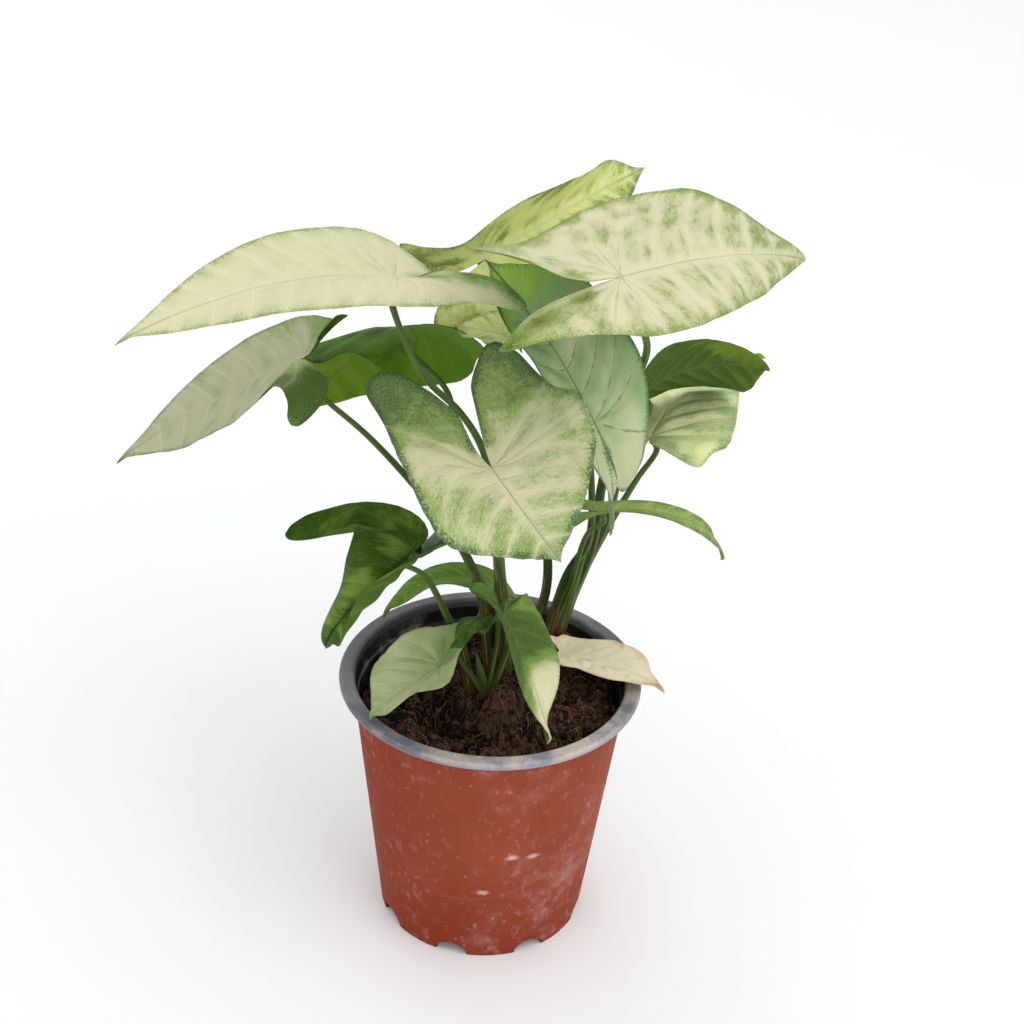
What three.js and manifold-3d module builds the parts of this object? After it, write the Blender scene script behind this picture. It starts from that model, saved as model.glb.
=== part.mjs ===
// An arrowhead plant (Syngonium) growing in a round nursery pot.
// Millimetres, +Z up. The origin is the centre of the pot's underside, on the surface it
// stands on, and -Y is the front. Every leaf blade, each tuft of leaf stalks, the soil and
// the pot are solids of their own.
import * as THREE from 'three';
import { mergeVertices } from 'three/addons/utils/BufferGeometryUtils.js';
import Module from 'manifold-3d';

const wasm = await Module();
wasm.setup();

// ---- driving dimensions -------------------------------------------------------------
const POT_HEIGHT = 111;
const POT_SIDES = 48;
const RIM_RADIUS = 60; // outer edge of the rolled rim
const RIM_DEPTH = 3; // height of the rim's outer edge
const MOUTH_RADIUS = 53.8;
const BASE_RADIUS = 41.6;
const WALL = 1.4;
const LEDGE_DROP = 9; // the stacking ledge lies this far under the rim
const FLOOR_LIFT = 4; // underside of the floor between the boss and the feet
const FLOOR_TOP = 6.2;
const BOSS_RADIUS = 14; // flat pad in the middle of the floor, level with the feet
const FOOT_NOTCHES = 8;
const NOTCH_WIDTH = 13;
const NOTCH_HEIGHT = 5.5;
const NOTCH_START = 255; // degrees
const DRAIN_HOLES = 6;
const DRAIN_RADIUS = 3.5;
const DRAIN_CIRCLE = 26;
const DRAIN_SIDES = 12;

const SOIL_LEVEL = 97; // top of the soil at the pot's wall
const SOIL_SIDES = 48;
const SOIL_RINGS = 9;
const HOLE_SIDES = 12;
// Two mounds round the clumps, a hollow and a low rise at the front.
const MOUNDS = [
  { x: 2, y: 2, high: 8, wide: 15 },
  { x: 24, y: 34, high: 7, wide: 12 },
  { x: -34, y: 20, high: -4, wide: 16 },
  { x: 0, y: -36, high: 2, wide: 20 },
];
const GAP = 0.4; // clearance between neighbouring solids

const BLADE_THICKNESS = 0.8;
const BIG_LEAF = 70; // from lobe to tip; bigger leaves get more cells
const BIG_BLADE = { columns: 12, rows: [0.22, 0.48, 0.75, 1] };
const SMALL_BLADE = { columns: 8, rows: [0.35, 0.7, 1] };
const LOBE_CREASE = 105; // degrees from the tip to the line that the basal lobes bend about
const WAVE_HEIGHT = 1.2; // rise and fall of a blade's edge
const WAVES = 3; // along each half of a blade
const STALK_SIDES = 7;
const STALK_STEPS = 12;
const STALK_SINK = 14; // how far the stalks reach down into the soil
const STALK_RISE = 1.5; // they stand straight up to this height over the soil
const STALK_NECK = 5; // the last stretch, square to the blade
const STALK_TAPER = 1.5;
const SHOOT_BOW = 4; // rise of a shoot's middle over the straight line
const SHOOT_TIP = 0.4; // radius

const RAD = Math.PI / 180;

// ---- materials ----------------------------------------------------------------------
const COLOURS = {
  pot: { color: 0x96412d, roughness: 0.62 },
  soil: { color: 0x3a2820, roughness: 0.97 },
  stalk: { color: 0x5f7a35, roughness: 0.5 },
  blade: { color: 0xb9c98a, roughness: 0.48 },
  dry: { color: 0xe3cfae, roughness: 0.85 },
};

function material(name) {
  return new THREE.MeshStandardMaterial({ ...COLOURS[name], metalness: 0 });
}

// ---- leaves -------------------------------------------------------------------------
// base: where the stalk meets the blade. turn: heading, pitch (tip down) and roll, degrees.
// length: stalk to tip. width, lobe, spread, fold, cup and lift hold a left and a right
// value: half width, length of the basal lobe, how far its tip stands off the midrib, the
// angle at the midrib, the curl to the edge and the bend of the lobe, all of them upwards.
// full: 1 is a plain arrowhead, more is rounder. open: width of the notch between the lobes.
// droop: bend of the midrib to the tip. back: bend of both lobes down. sweep: sideways bend.
// tuft, root, thick and route are the stalk: the clump it belongs to, where it stands in the
// soil, its radius at the soil and at the blade, and the points it passes on the way up.
const LEAVES = [
  {
    name: 'leaf_top_left', base: [-41, -8, 285], turn: [223, -20, 7],
    length: 114, width: [25, 24], lobe: [38, 39], spread: [30, 27], full: 1.0, open: 0.2,
    fold: [15, 25], cup: [-45, 10], lift: [35, 0], droop: 35, back: 20, twist: -25, sweep: -10,
    tuft: 'centre', root: [4, 11], thick: [2.3, 1.1],
    route: [[0, 9, 165], [-6, 6, 206], [-16, 1, 227], [-27, -1, 239], [-34, -8, 254]],
  },
  {
    name: 'leaf_left', base: [-77, 10, 241], turn: [136, 33, 4],
    length: 105, width: [24, 20], lobe: [31, 25], spread: [18, 15], full: 1.0, open: 0.7,
    fold: [-45, 45], cup: [40, 10], lift: [-100, 60], droop: 20, back: 25, twist: -60, sweep: 35,
    tuft: 'centre', root: [0, 11], thick: [2.5, 1.0],
    route: [[-7, 12, 146], [-18, 21, 163], [-32, 19, 183], [-51, 14, 208], [-68, 10, 226]],
  },
  {
    name: 'leaf_top_right', base: [39, -12, 291], turn: [37, 0, 29],
    length: 118, width: [40, 25], lobe: [52, 58], spread: [25, 14], full: 1.1, open: 0.4,
    fold: [-20, 15], cup: [-5, -55], lift: [25, -35], droop: 35, back: -20, twist: 35, sweep: 5,
    tuft: 'right', root: [24, 36], thick: [2.4, 1.2],
    route: [[32, 31, 132], [38, 30, 154], [40, 23, 188], [45, 25, 218], [53, 27, 243]],
  },
  {
    name: 'leaf_top_back', base: [-9, 64, 261], turn: [43, -15, 52],
    length: 97, width: [26, 26], lobe: [39, 39], spread: [14, 13], full: 1.1, open: 0.8,
    fold: [55, 20], cup: [30, -5], lift: [-45, 5], droop: 20, back: -10, twist: 0, sweep: -5,
    tuft: 'back', root: [14, 33], thick: [2.2, 1.1],
    route: [[21, 38, 127], [19, 42, 153], [7, 48, 195], [-3, 54, 236]],
  },
  {
    name: 'leaf_left_inner', base: [-41, 38, 243], turn: [119, 28, 4],
    length: 90, width: [36, 37], lobe: [38, 39], spread: [22, 22], full: 0.9, open: 0.7,
    fold: [0, -5], cup: [-30, -75], lift: [-30, 0], droop: 45, back: 20, twist: 15, sweep: 20,
    tuft: 'centre', root: [2, 14], thick: [2.2, 1.1],
    route: [[-4, 13, 141], [-12, 14, 157], [-19, 20, 191], [-21, 24, 222]],
  },
  {
    name: 'leaf_upright', base: [34, 0, 226], turn: [160, -60, -38],
    length: 74, width: [23, 30], lobe: [40, 40], spread: [15, 12], full: 1.5, open: 0.2,
    fold: [40, -10], cup: [20, -5], lift: [-20, -40], droop: 5, back: 5, twist: -10, sweep: 15,
    tuft: 'right', root: [22, 33], thick: [2.3, 1.1],
    route: [[29, 28, 141], [36, 20, 163], [35, 12, 194]],
  },
  {
    name: 'leaf_front', base: [-3, -57, 237], turn: [-76, -11, 13],
    length: 52, width: [40, 34], lobe: [54, 51], spread: [29, 37], full: 1.5, open: 0.6,
    fold: [20, 35], cup: [25, -15], lift: [55, 25], droop: 55, back: -10, twist: 10, sweep: 20,
    tuft: 'centre', root: [6, 9], thick: [2.2, 1.1],
    route: [[4, 0, 144], [1, -14, 174], [-1, -34, 211]],
  },
  {
    name: 'leaf_right_turned', base: [52, 43, 215], turn: [48, -22, -70],
    length: 57, width: [34, 32], lobe: [20, 16], spread: [8, 8], full: 1.5, open: 0.7,
    fold: [0, 0], cup: [40, -20], lift: [-15, -10], droop: 85, back: 20, twist: 0, sweep: -20,
    tuft: 'right', root: [26, 38], thick: [2.2, 1.1],
    route: [[36, 34, 140], [44, 34, 166], [49, 34, 196]],
  },
  {
    name: 'leaf_right', base: [59, 51, 193], turn: [73, -13, -27],
    length: 93, width: [32, 32], lobe: [16, 14], spread: [17, 21], full: 0.8, open: 0.6,
    fold: [10, -10], cup: [-15, -35], lift: [-10, 25], droop: 40, back: 5, twist: -5, sweep: -20,
    tuft: 'right', root: [27, 35], thick: [2.2, 1.1],
    route: [[35, 37, 135], [46, 44, 158], [55, 50, 174]],
  },
  {
    name: 'leaf_right_narrow', base: [39, 4, 186], turn: [-5, -15, 18],
    length: 72, width: [4, 4], lobe: [12, 12], spread: [6, 6], full: 1.1, open: 0.7,
    fold: [20, 15], cup: [-5, 0], lift: [-10, -10], droop: 105, back: 0, twist: 15, sweep: 15,
    tuft: 'right', root: [22, 36], thick: [1.6, 0.9],
    route: [[30, 26, 137], [35, 14, 169]],
  },
  {
    name: 'leaf_left_curled', base: [-31, -22, 179], turn: [-92, -27, -58],
    length: 64, width: [20, 23], lobe: [32, 33], spread: [25, 47], full: 1.1, open: 0.2,
    fold: [90, -20], cup: [18, -45], lift: [13, 73], droop: 163, back: 32, twist: -8, sweep: 29,
    tuft: 'left', root: [-8, -3], thick: [2.0, 1.0],
    route: [[-12, -3, 126], [-17, -5, 138], [-27, -15, 165]],
  },
  {
    name: 'leaf_back_narrow', base: [2, 30, 131], turn: [180, -37, 21],
    length: 55, width: [11, 11], lobe: [14, 14], spread: [7, 7], full: 1.2, open: 0.7,
    fold: [5, 25], cup: [-20, -10], lift: [-10, -10], droop: 95, back: 0, twist: -5, sweep: 5,
    tuft: 'back', root: [12, 32], thick: [1.5, 0.8],
    route: [[5, 30, 125]],
  },
  {
    name: 'leaf_low_left', base: [-20, -22, 129], turn: [203, 29, 13],
    length: 34, width: [18, 19], lobe: [14, 22], spread: [8, 8], full: 1.5, open: 0.8,
    fold: [25, 35], cup: [-30, 10], lift: [50, 5], droop: 5, back: -5, twist: 5, sweep: 10,
    tuft: 'front', root: [-3, -6], thick: [1.4, 0.8],
    route: [[-10, -9, 119], [-15, -15, 129]],
  },
  {
    name: 'leaf_low_front', base: [4, -22, 154], turn: [-50, 41, -2],
    length: 52, width: [15, 15], lobe: [4, 14], spread: [8, 10], full: 1.1, open: 0.7,
    fold: [20, 45], cup: [-15, -10], lift: [-15, 0], droop: 15, back: 10, twist: -15, sweep: -10,
    tuft: 'front', root: [1, -4], thick: [1.6, 0.9],
    route: [[7, -2, 128], [5, -10, 152]],
  },
  {
    name: 'leaf_dry', base: [30, 19, 109], turn: [-34, -17, -2],
    length: 52, width: [15, 16], lobe: [11, 4], spread: [5, 4], full: 1.2, open: 0.7,
    fold: [10, 15], cup: [-10, -10], lift: [45, -10], droop: 20, back: -15, twist: -5, sweep: -15,
    tuft: 'dry', root: [25, 21], thick: [1.0, 0.6],
    route: [[28, 20, 103]],
  },
  {
    name: 'leaf_small_inner', base: [-1, 16, 252], turn: [178, -15, -8],
    length: 19, width: [10, 11], lobe: [8, 8], spread: [6, 6], full: 1.1, open: 0.7,
    fold: [10, 20], cup: [-15, -10], lift: [-10, -10], droop: 20, back: 0, twist: 0, sweep: 0,
    tuft: 'centre', root: [7, 14], thick: [1.6, 0.8],
    route: [[4, 12, 138], [0, 14, 182], [0, 16, 225]],
  },
  {
    name: 'leaf_small_low', base: [-6, -19, 149], turn: [-126, 9, 17],
    length: 18, width: [7, 8], lobe: [4, 4], spread: [4, 4], full: 1.1, open: 0.7,
    fold: [5, -5], cup: [-20, -25], lift: [-10, -10], droop: 20, back: 0, twist: 0, sweep: 0,
    tuft: 'front', root: [-1, -5], thick: [1.2, 0.7],
    route: [[2, -3, 129], [1, -8, 142]],
  },
];

// Young shoots that haven't opened: clump, root, tip and radius at the soil.
const SHOOTS = [
  { tuft: 'centre', root: [7, 13], tip: [10, 8, 134], thick: 1.8 },
  { tuft: 'front', root: [-2, -5], tip: [-6, -6, 124], thick: 1.5 },
  { tuft: 'right', root: [26, 35], tip: [36, 24, 158], thick: 1.9 },
];

// ---- solids and meshes --------------------------------------------------------------
function solid(geometry) {
  const plain = geometry.clone();
  plain.deleteAttribute('normal');
  plain.deleteAttribute('uv');
  const welded = mergeVertices(plain, 1e-4);
  return new wasm.Manifold(new wasm.Mesh({
    numProp: 3,
    vertProperties: new Float32Array(welded.attributes.position.array),
    triVerts: new Uint32Array(welded.index.array),
  }));
}

function named(name, geometry, look) {
  geometry.computeVertexNormals();
  const mesh = new THREE.Mesh(geometry, material(look));
  mesh.name = name;
  return mesh;
}

function fromSolid(name, body, look) {
  const mesh = body.getMesh();
  const geometry = new THREE.BufferGeometry();
  geometry.setAttribute('position', new THREE.BufferAttribute(mesh.vertProperties, 3));
  geometry.setIndex(new THREE.BufferAttribute(mesh.triVerts, 1));
  return named(name, geometry, look);
}

function indexed(points, faces) {
  const geometry = new THREE.BufferGeometry().setFromPoints(points);
  geometry.setIndex(faces.flat());
  return geometry;
}

function uprightCylinder(x, y, bottom, top, radius, sides) {
  const geometry = new THREE.CylinderGeometry(radius, radius, top - bottom, sides);
  geometry.rotateX(Math.PI / 2);
  geometry.translate(x, y, (top + bottom) / 2);
  return solid(geometry);
}

// ---- pot ----------------------------------------------------------------------------
// Outside wall: radius at a height, a straight taper from the foot to the rim.
function outsideRadius(z) {
  const top = POT_HEIGHT - RIM_DEPTH;
  return BASE_RADIUS + ((MOUTH_RADIUS + 0.8 - BASE_RADIUS) * z) / top;
}

// Inside wall below the stacking ledge.
function insideRadius(z) {
  return outsideRadius(z) - WALL - 0.6 * (z / POT_HEIGHT);
}

function potProfile() {
  const ledge = POT_HEIGHT - LEDGE_DROP;
  const underRim = POT_HEIGHT - RIM_DEPTH;
  const outline = [
    [0, 0], [BOSS_RADIUS, 0], [BOSS_RADIUS + 2, FLOOR_LIFT],
    [BASE_RADIUS - 2.6, FLOOR_LIFT], [BASE_RADIUS - 1.6, 0], [BASE_RADIUS, 0],
    [outsideRadius(underRim), underRim], [RIM_RADIUS - 0.6, underRim],
    [RIM_RADIUS, underRim + 0.5], [RIM_RADIUS, POT_HEIGHT - 0.8],
    [RIM_RADIUS - 0.7, POT_HEIGHT], [MOUTH_RADIUS + 0.8, POT_HEIGHT],
    [MOUTH_RADIUS, POT_HEIGHT - 0.7], [MOUTH_RADIUS - 0.9, ledge],
    [insideRadius(ledge), ledge - 0.8],
    [insideRadius(FLOOR_TOP + 1.4), FLOOR_TOP + 1.4],
    [insideRadius(FLOOR_TOP) - 1.6, FLOOR_TOP],
    [BOSS_RADIUS + 2.5, FLOOR_TOP], [BOSS_RADIUS - 0.5, 2.4], [0, 2.4],
  ];
  return outline.map(([radius, z]) => new THREE.Vector2(radius, z));
}

function notchCutter(azimuth) {
  const half = NOTCH_WIDTH / 2;
  const arch = new THREE.Shape();
  arch.moveTo(-half, -1);
  arch.lineTo(half, -1);
  arch.lineTo(half, 0);
  arch.absellipse(0, 0, half, NOTCH_HEIGHT, 0, Math.PI, false);
  arch.closePath();
  const cutter = new THREE.ExtrudeGeometry(arch, { depth: 10, bevelEnabled: false, curveSegments: 10 });
  cutter.rotateX(Math.PI / 2);
  cutter.translate(0, BASE_RADIUS + 4, 0);
  cutter.rotateZ((azimuth - 90) * RAD);
  return solid(cutter);
}

function pot() {
  const lathe = new THREE.LatheGeometry(potProfile(), POT_SIDES);
  lathe.rotateX(Math.PI / 2);
  let body = solid(lathe);
  for (let i = 0; i < FOOT_NOTCHES; i += 1) {
    body = body.subtract(notchCutter(NOTCH_START + (360 / FOOT_NOTCHES) * i));
  }
  for (let i = 0; i < DRAIN_HOLES; i += 1) {
    const turn = (i / DRAIN_HOLES) * 2 * Math.PI;
    const [x, y] = [DRAIN_CIRCLE * Math.cos(turn), DRAIN_CIRCLE * Math.sin(turn)];
    body = body.subtract(uprightCylinder(x, y, 0, FLOOR_TOP + 2, DRAIN_RADIUS, DRAIN_SIDES));
  }
  return fromSolid('pot', body, 'pot');
}

// ---- soil ---------------------------------------------------------------------------
// Height of the soil: level, with its mounds and hollow and small crumbs.
function soilHeight(x, y) {
  let height = SOIL_LEVEL;
  for (const mound of MOUNDS) {
    const away = (x - mound.x) ** 2 + (y - mound.y) ** 2;
    height += mound.high * Math.exp(-away / (2 * mound.wide ** 2));
  }
  height += 0.8 * Math.sin(0.35 * x + 1) * Math.cos(0.31 * y);
  height += 0.5 * Math.sin(0.9 * x) * Math.sin(0.8 * y + 2);
  return height;
}

function soilBlock() {
  const edge = insideRadius(SOIL_LEVEL) - GAP;
  const bottomEdge = insideRadius(FLOOR_TOP + 1.4) - GAP - 1.8;
  const bottom = FLOOR_TOP + GAP;
  const points = [new THREE.Vector3(0, 0, soilHeight(0, 0))];
  const ring = (radius, height) => {
    for (let i = 0; i < SOIL_SIDES; i += 1) {
      const turn = (i / SOIL_SIDES) * 2 * Math.PI;
      const [x, y] = [radius * Math.cos(turn), radius * Math.sin(turn)];
      points.push(new THREE.Vector3(x, y, height(x, y)));
    }
  };
  for (let r = 1; r <= SOIL_RINGS; r += 1) {
    ring((edge * r) / SOIL_RINGS, soilHeight);
  }
  ring(bottomEdge, () => bottom);
  points.push(new THREE.Vector3(0, 0, bottom));
  const faces = [];
  const rings = SOIL_RINGS + 1;
  const at = (r, i) => 1 + (r - 1) * SOIL_SIDES + (i % SOIL_SIDES);
  for (let i = 0; i < SOIL_SIDES; i += 1) {
    faces.push([0, at(1, i), at(1, i + 1)]);
    for (let r = 1; r < rings; r += 1) {
      faces.push([at(r, i), at(r + 1, i), at(r + 1, i + 1)]);
      faces.push([at(r, i), at(r + 1, i + 1), at(r, i + 1)]);
    }
    faces.push([at(rings, i), points.length - 1, at(rings, i + 1)]);
  }
  return solid(indexed(points, faces));
}

// The stalks stand in plain holes.
function soil() {
  let body = soilBlock();
  for (const { root, thick } of [...LEAVES, ...SHOOTS]) {
    const radius = (Math.max(...[thick].flat()) + GAP) / Math.cos(Math.PI / HOLE_SIDES);
    const bottom = soilHeight(...root) - STALK_SINK - GAP;
    const top = bottom + STALK_SINK + 12;
    body = body.subtract(uprightCylinder(...root, bottom, top, radius, HOLE_SIDES));
  }
  return fromSolid('soil', body, 'soil');
}

// ---- leaf blades --------------------------------------------------------------------
// Outline of one half, from the tip round the edge to the notch beside the stalk.
function bladeOutline(length, width, lobe, spread, full, open) {
  const points = [
    [length, 0],
    [0.94 * length, 0.06 * width * full],
    [0.82 * length, 0.27 * width * full],
    [0.62 * length, Math.min(0.6 * full, 0.95) * width],
    [0.36 * length, Math.min(0.616 + 0.264 * full, 1) * width],
    [0.06 * length, width],
    [-0.42 * lobe, 0.56 * width + 0.42 * spread],
    [-0.86 * lobe, 0.1 * width + 0.98 * spread],
    [-lobe, 0.8 * spread],
    [-0.72 * lobe, 0.36 * spread * open],
    [-0.3 * lobe, 0.08 * spread * open],
  ];
  return new THREE.SplineCurve(points.map(([x, y]) => new THREE.Vector2(x, y)));
}

// Rolls a point round a cylinder. Past the base line it turns towards up, until it has turned
// by the whole angle at the given length, and from there it runs straight on.
function bend(point, out, up, angle, length) {
  const along = point.dot(out);
  if (along <= 0 || angle === 0) return;
  const radius = length / (angle * RAD);
  const turn = Math.min(along, length) / radius;
  const rest = Math.max(along - length, 0);
  const high = point.dot(up);
  const newAlong = (radius - high) * Math.sin(turn) + rest * Math.cos(turn);
  const newHigh = radius - (radius - high) * Math.cos(turn) + rest * Math.sin(turn);
  point.addScaledVector(out, newAlong - along).addScaledVector(up, newHigh - high);
}

const X = new THREE.Vector3(1, 0, 0);
const Y = new THREE.Vector3(0, 1, 0);
const Z = new THREE.Vector3(0, 0, 1);

function turned(vector, [heading, pitch, roll]) {
  return vector.applyAxisAngle(X, roll * RAD).applyAxisAngle(Y, pitch * RAD).applyAxisAngle(Z, heading * RAD);
}

// A point of the flat blade, on the left (side 1) or right (side -1), bent and put in place.
function placed(leaf, point, side) {
  const k = side > 0 ? 0 : 1;
  const crease = LOBE_CREASE * RAD;
  const acrossLobe = new THREE.Vector3(-Math.sin(crease), side * Math.cos(crease), 0);
  const outwards = new THREE.Vector3(0, side, 0);
  bend(point, acrossLobe, Z, leaf.lift[k], 0.8 * leaf.lobe[k]);
  bend(point, outwards, Z, leaf.cup[k], leaf.width[k]);
  bend(point, outwards, Z, leaf.fold[k], 0.2 * leaf.width[k]);
  point.applyAxisAngle(X, (leaf.twist * RAD * point.x) / leaf.length);
  bend(point, X, Y, leaf.sweep, leaf.length);
  bend(point, X, Z, -leaf.droop, leaf.length);
  bend(point, X.clone().negate(), Z, -leaf.back, (leaf.lobe[0] + leaf.lobe[1]) / 2);
  return turned(point, leaf.turn).add(new THREE.Vector3(...leaf.base));
}

// Top face of a blade: a fan of rows from the stalk out to the edge, both halves, with the
// waves of the edge growing outwards. The halves share the midrib.
function bladeTop(leaf) {
  const { columns, rows } = leaf.length + leaf.lobe[0] < BIG_LEAF ? SMALL_BLADE : BIG_BLADE;
  const points = [new THREE.Vector3(...leaf.base)];
  const grid = [];
  for (const side of [1, -1]) {
    const k = side > 0 ? 0 : 1;
    const curve = bladeOutline(
      leaf.length, leaf.width[k], leaf.lobe[k], leaf.spread[k], leaf.full, leaf.open);
    grid.push(rows.map((row, r) => Array.from({ length: columns + 1 }, (_, i) => {
      if (side < 0 && i === 0) return grid[0][r][0];
      const t = i / columns;
      const wave = WAVE_HEIGHT * row ** 3 * Math.sin(2 * Math.PI * (WAVES + 0.5 * side) * t);
      const { x, y } = curve.getPoint(t);
      points.push(placed(leaf, new THREE.Vector3(x * row, side * y * row, wave), side));
      return points.length - 1;
    })));
  }
  const faces = [];
  grid.forEach((half, h) => {
    const add = (a, b, c) => faces.push(h === 0 ? [a, b, c] : [a, c, b]);
    for (let i = 0; i < columns; i += 1) {
      add(0, half[0][i], half[0][i + 1]);
      for (let r = 1; r < rows.length; r += 1) {
        add(half[r - 1][i], half[r][i], half[r][i + 1]);
        add(half[r - 1][i], half[r][i + 1], half[r - 1][i + 1]);
      }
    }
  });
  const round = (half) => {
    const notch = half.slice(0, -1).map((row) => row[columns]);
    return [...half.at(-1), ...notch.reverse()];
  };
  const edge = [0, ...round(grid[1]).slice(1).reverse(), ...round(grid[0])];
  return { points, faces, edge };
}

// The blade is its top face, the same face set down by the thickness and turned over, and a
// wall round the edge.
function blade(leaf) {
  const { points, faces, edge } = bladeTop(leaf);
  const sheet = indexed(points, faces);
  sheet.computeVertexNormals();
  const normal = new THREE.Vector3();
  const under = points.map((point, i) => {
    normal.fromBufferAttribute(sheet.attributes.normal, i);
    return point.clone().addScaledVector(normal, -BLADE_THICKNESS);
  });
  const count = points.length;
  const lower = faces.map(([a, b, c]) => [a + count, c + count, b + count]);
  const wall = edge.flatMap((a, i) => {
    const b = edge[(i + 1) % edge.length];
    return [[a, a + count, b + count], [a, b + count, b]];
  });
  return indexed([...points, ...under], [...faces, ...lower, ...wall]);
}

// ---- stalks -------------------------------------------------------------------------
// A round tube along a line of points, one ring of corners for each. The rings keep their
// turn from one to the next, and the ends are closed.
function taperedTube(centres, tangents, radii) {
  const points = [];
  const across = new THREE.Vector3(1, 0, 0);
  centres.forEach((centre, j) => {
    across.addScaledVector(tangents[j], -across.dot(tangents[j])).normalize();
    const beside = new THREE.Vector3().crossVectors(tangents[j], across);
    for (let i = 0; i < STALK_SIDES; i += 1) {
      const turn = (i / STALK_SIDES) * 2 * Math.PI;
      points.push(centre.clone()
        .addScaledVector(across, radii[j] * Math.cos(turn))
        .addScaledVector(beside, radii[j] * Math.sin(turn)));
    }
  });
  const faces = [];
  const at = (j, i) => j * STALK_SIDES + (i % STALK_SIDES);
  for (let j = 0; j < centres.length - 1; j += 1) {
    for (let i = 0; i < STALK_SIDES; i += 1) {
      faces.push([at(j, i), at(j, i + 1), at(j + 1, i + 1)]);
      faces.push([at(j, i), at(j + 1, i + 1), at(j + 1, i)]);
    }
  }
  const last = centres.length - 1;
  for (let i = 1; i < STALK_SIDES - 1; i += 1) {
    faces.push([at(0, 0), at(0, i + 1), at(0, i)]);
    faces.push([at(last, 0), at(last, i), at(last, i + 1)]);
  }
  return solid(indexed(points, faces));
}

// A stalk stands straight up in its hole, follows its route and thins to its end.
function stalk(root, route, thick) {
  const ground = soilHeight(...root);
  const foot = new THREE.Vector3(...root, ground + STALK_RISE);
  const curve = new THREE.CatmullRomCurve3([foot, ...route], false, 'centripetal');
  const centres = [new THREE.Vector3(...root, ground - STALK_SINK), foot];
  const tangents = [Z.clone(), Z.clone()];
  const radii = [thick[0], thick[0]];
  for (let j = 1; j <= STALK_STEPS; j += 1) {
    const u = j / STALK_STEPS;
    centres.push(curve.getPointAt(u));
    tangents.push(curve.getTangentAt(u));
    radii.push(thick[1] + (thick[0] - thick[1]) * (1 - u) ** STALK_TAPER);
  }
  return taperedTube(centres, tangents, radii);
}

function leafStalk(leaf) {
  const base = new THREE.Vector3(...leaf.base);
  const down = turned(new THREE.Vector3(0, 0, -1), leaf.turn);
  const end = base.clone().addScaledVector(down, BLADE_THICKNESS + GAP);
  const neck = base.clone().addScaledVector(down, BLADE_THICKNESS + GAP + STALK_NECK);
  const route = leaf.route.map((point) => new THREE.Vector3(...point));
  return stalk(leaf.root, [...route, neck, end], leaf.thick);
}

function shoot({ root, tip, thick }) {
  const point = new THREE.Vector3(...tip);
  const middle = new THREE.Vector3(...root, SOIL_LEVEL).lerp(point, 0.5);
  middle.z += SHOOT_BOW;
  return stalk(root, [middle, point], [thick, SHOOT_TIP]);
}

// All stalks and shoots of one clump, grown together at the soil.
function tuft(name) {
  const stalks = LEAVES.filter((leaf) => leaf.tuft === name).map(leafStalk);
  const shoots = SHOOTS.filter((item) => item.tuft === name).map(shoot);
  const body = [...stalks, ...shoots].reduce((sum, part) => sum.add(part));
  return fromSolid(`stalks_${name}`, body, 'stalk');
}

// ---- assembly -----------------------------------------------------------------------
const plant = new THREE.Group();
plant.add(pot(), soil());
for (const name of new Set(LEAVES.map((leaf) => leaf.tuft))) {
  plant.add(tuft(name));
}
for (const leaf of LEAVES) {
  plant.add(named(leaf.name, blade(leaf), leaf.tuft === 'dry' ? 'dry' : 'blade'));
}

export default plant;
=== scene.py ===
"""An arrowhead plant in its nursery pot.

Lengths are millimetres where nothing else is said, +Z is up and -Y is the front. Every blade,
stalk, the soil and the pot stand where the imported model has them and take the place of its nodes.
"""

import math
from types import SimpleNamespace

import bmesh
import bpy
import numpy as np
from bpy.props import FloatProperty, FloatVectorProperty, IntProperty, PointerProperty
from mathutils import Matrix, Vector


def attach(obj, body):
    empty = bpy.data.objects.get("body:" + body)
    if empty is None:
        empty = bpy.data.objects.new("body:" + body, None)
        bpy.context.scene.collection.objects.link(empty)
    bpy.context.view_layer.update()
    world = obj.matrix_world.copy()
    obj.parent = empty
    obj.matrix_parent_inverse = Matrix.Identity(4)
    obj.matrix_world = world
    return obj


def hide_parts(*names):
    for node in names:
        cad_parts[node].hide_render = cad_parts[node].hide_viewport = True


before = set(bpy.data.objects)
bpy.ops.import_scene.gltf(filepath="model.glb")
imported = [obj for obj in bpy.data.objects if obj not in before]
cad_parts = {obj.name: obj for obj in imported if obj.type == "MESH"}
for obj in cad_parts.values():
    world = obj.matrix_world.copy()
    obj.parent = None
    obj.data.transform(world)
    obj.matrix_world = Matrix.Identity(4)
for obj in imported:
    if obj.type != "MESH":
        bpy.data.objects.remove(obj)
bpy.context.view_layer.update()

bl_info = {
    "name": "Arrowhead plant in a nursery pot",
    "version": (1, 0, 0),
    "blender": (4, 5, 0),
    "location": "View3D > Sidebar > Plant",
    "description": "Builds a variegated arrowhead plant, its soil and its nursery pot",
    "category": "Add Mesh",
}

MM = 0.001
TURN = 2 * np.pi


# ---- the plant's leaves ------------------------------------------------------------------
class Leaf(SimpleNamespace):
    """The sizes of a leaf. Pairs are for its left and its right half.

    base: where the stalk meets the blade. turn: heading, pitch (tip down) and roll, in degrees.
    length: stalk to tip. width: half width. lobe and spread: length of the basal lobe and how
    far its tip stands off the midrib. full: 1 is a plain arrowhead, more is rounder. open:
    width of the notch. fold, cup and lift: angle at the midrib, curl to the edge and bend of
    the lobe, all upwards. droop bends the midrib down to its tip and back bends both lobes
    down. twist turns the blade about its midrib and sweep bends it sideways. tuft, root, thick
    and route are the stalk: its clump, its place in the soil, its radius at both ends and the
    points that it passes."""


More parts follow.
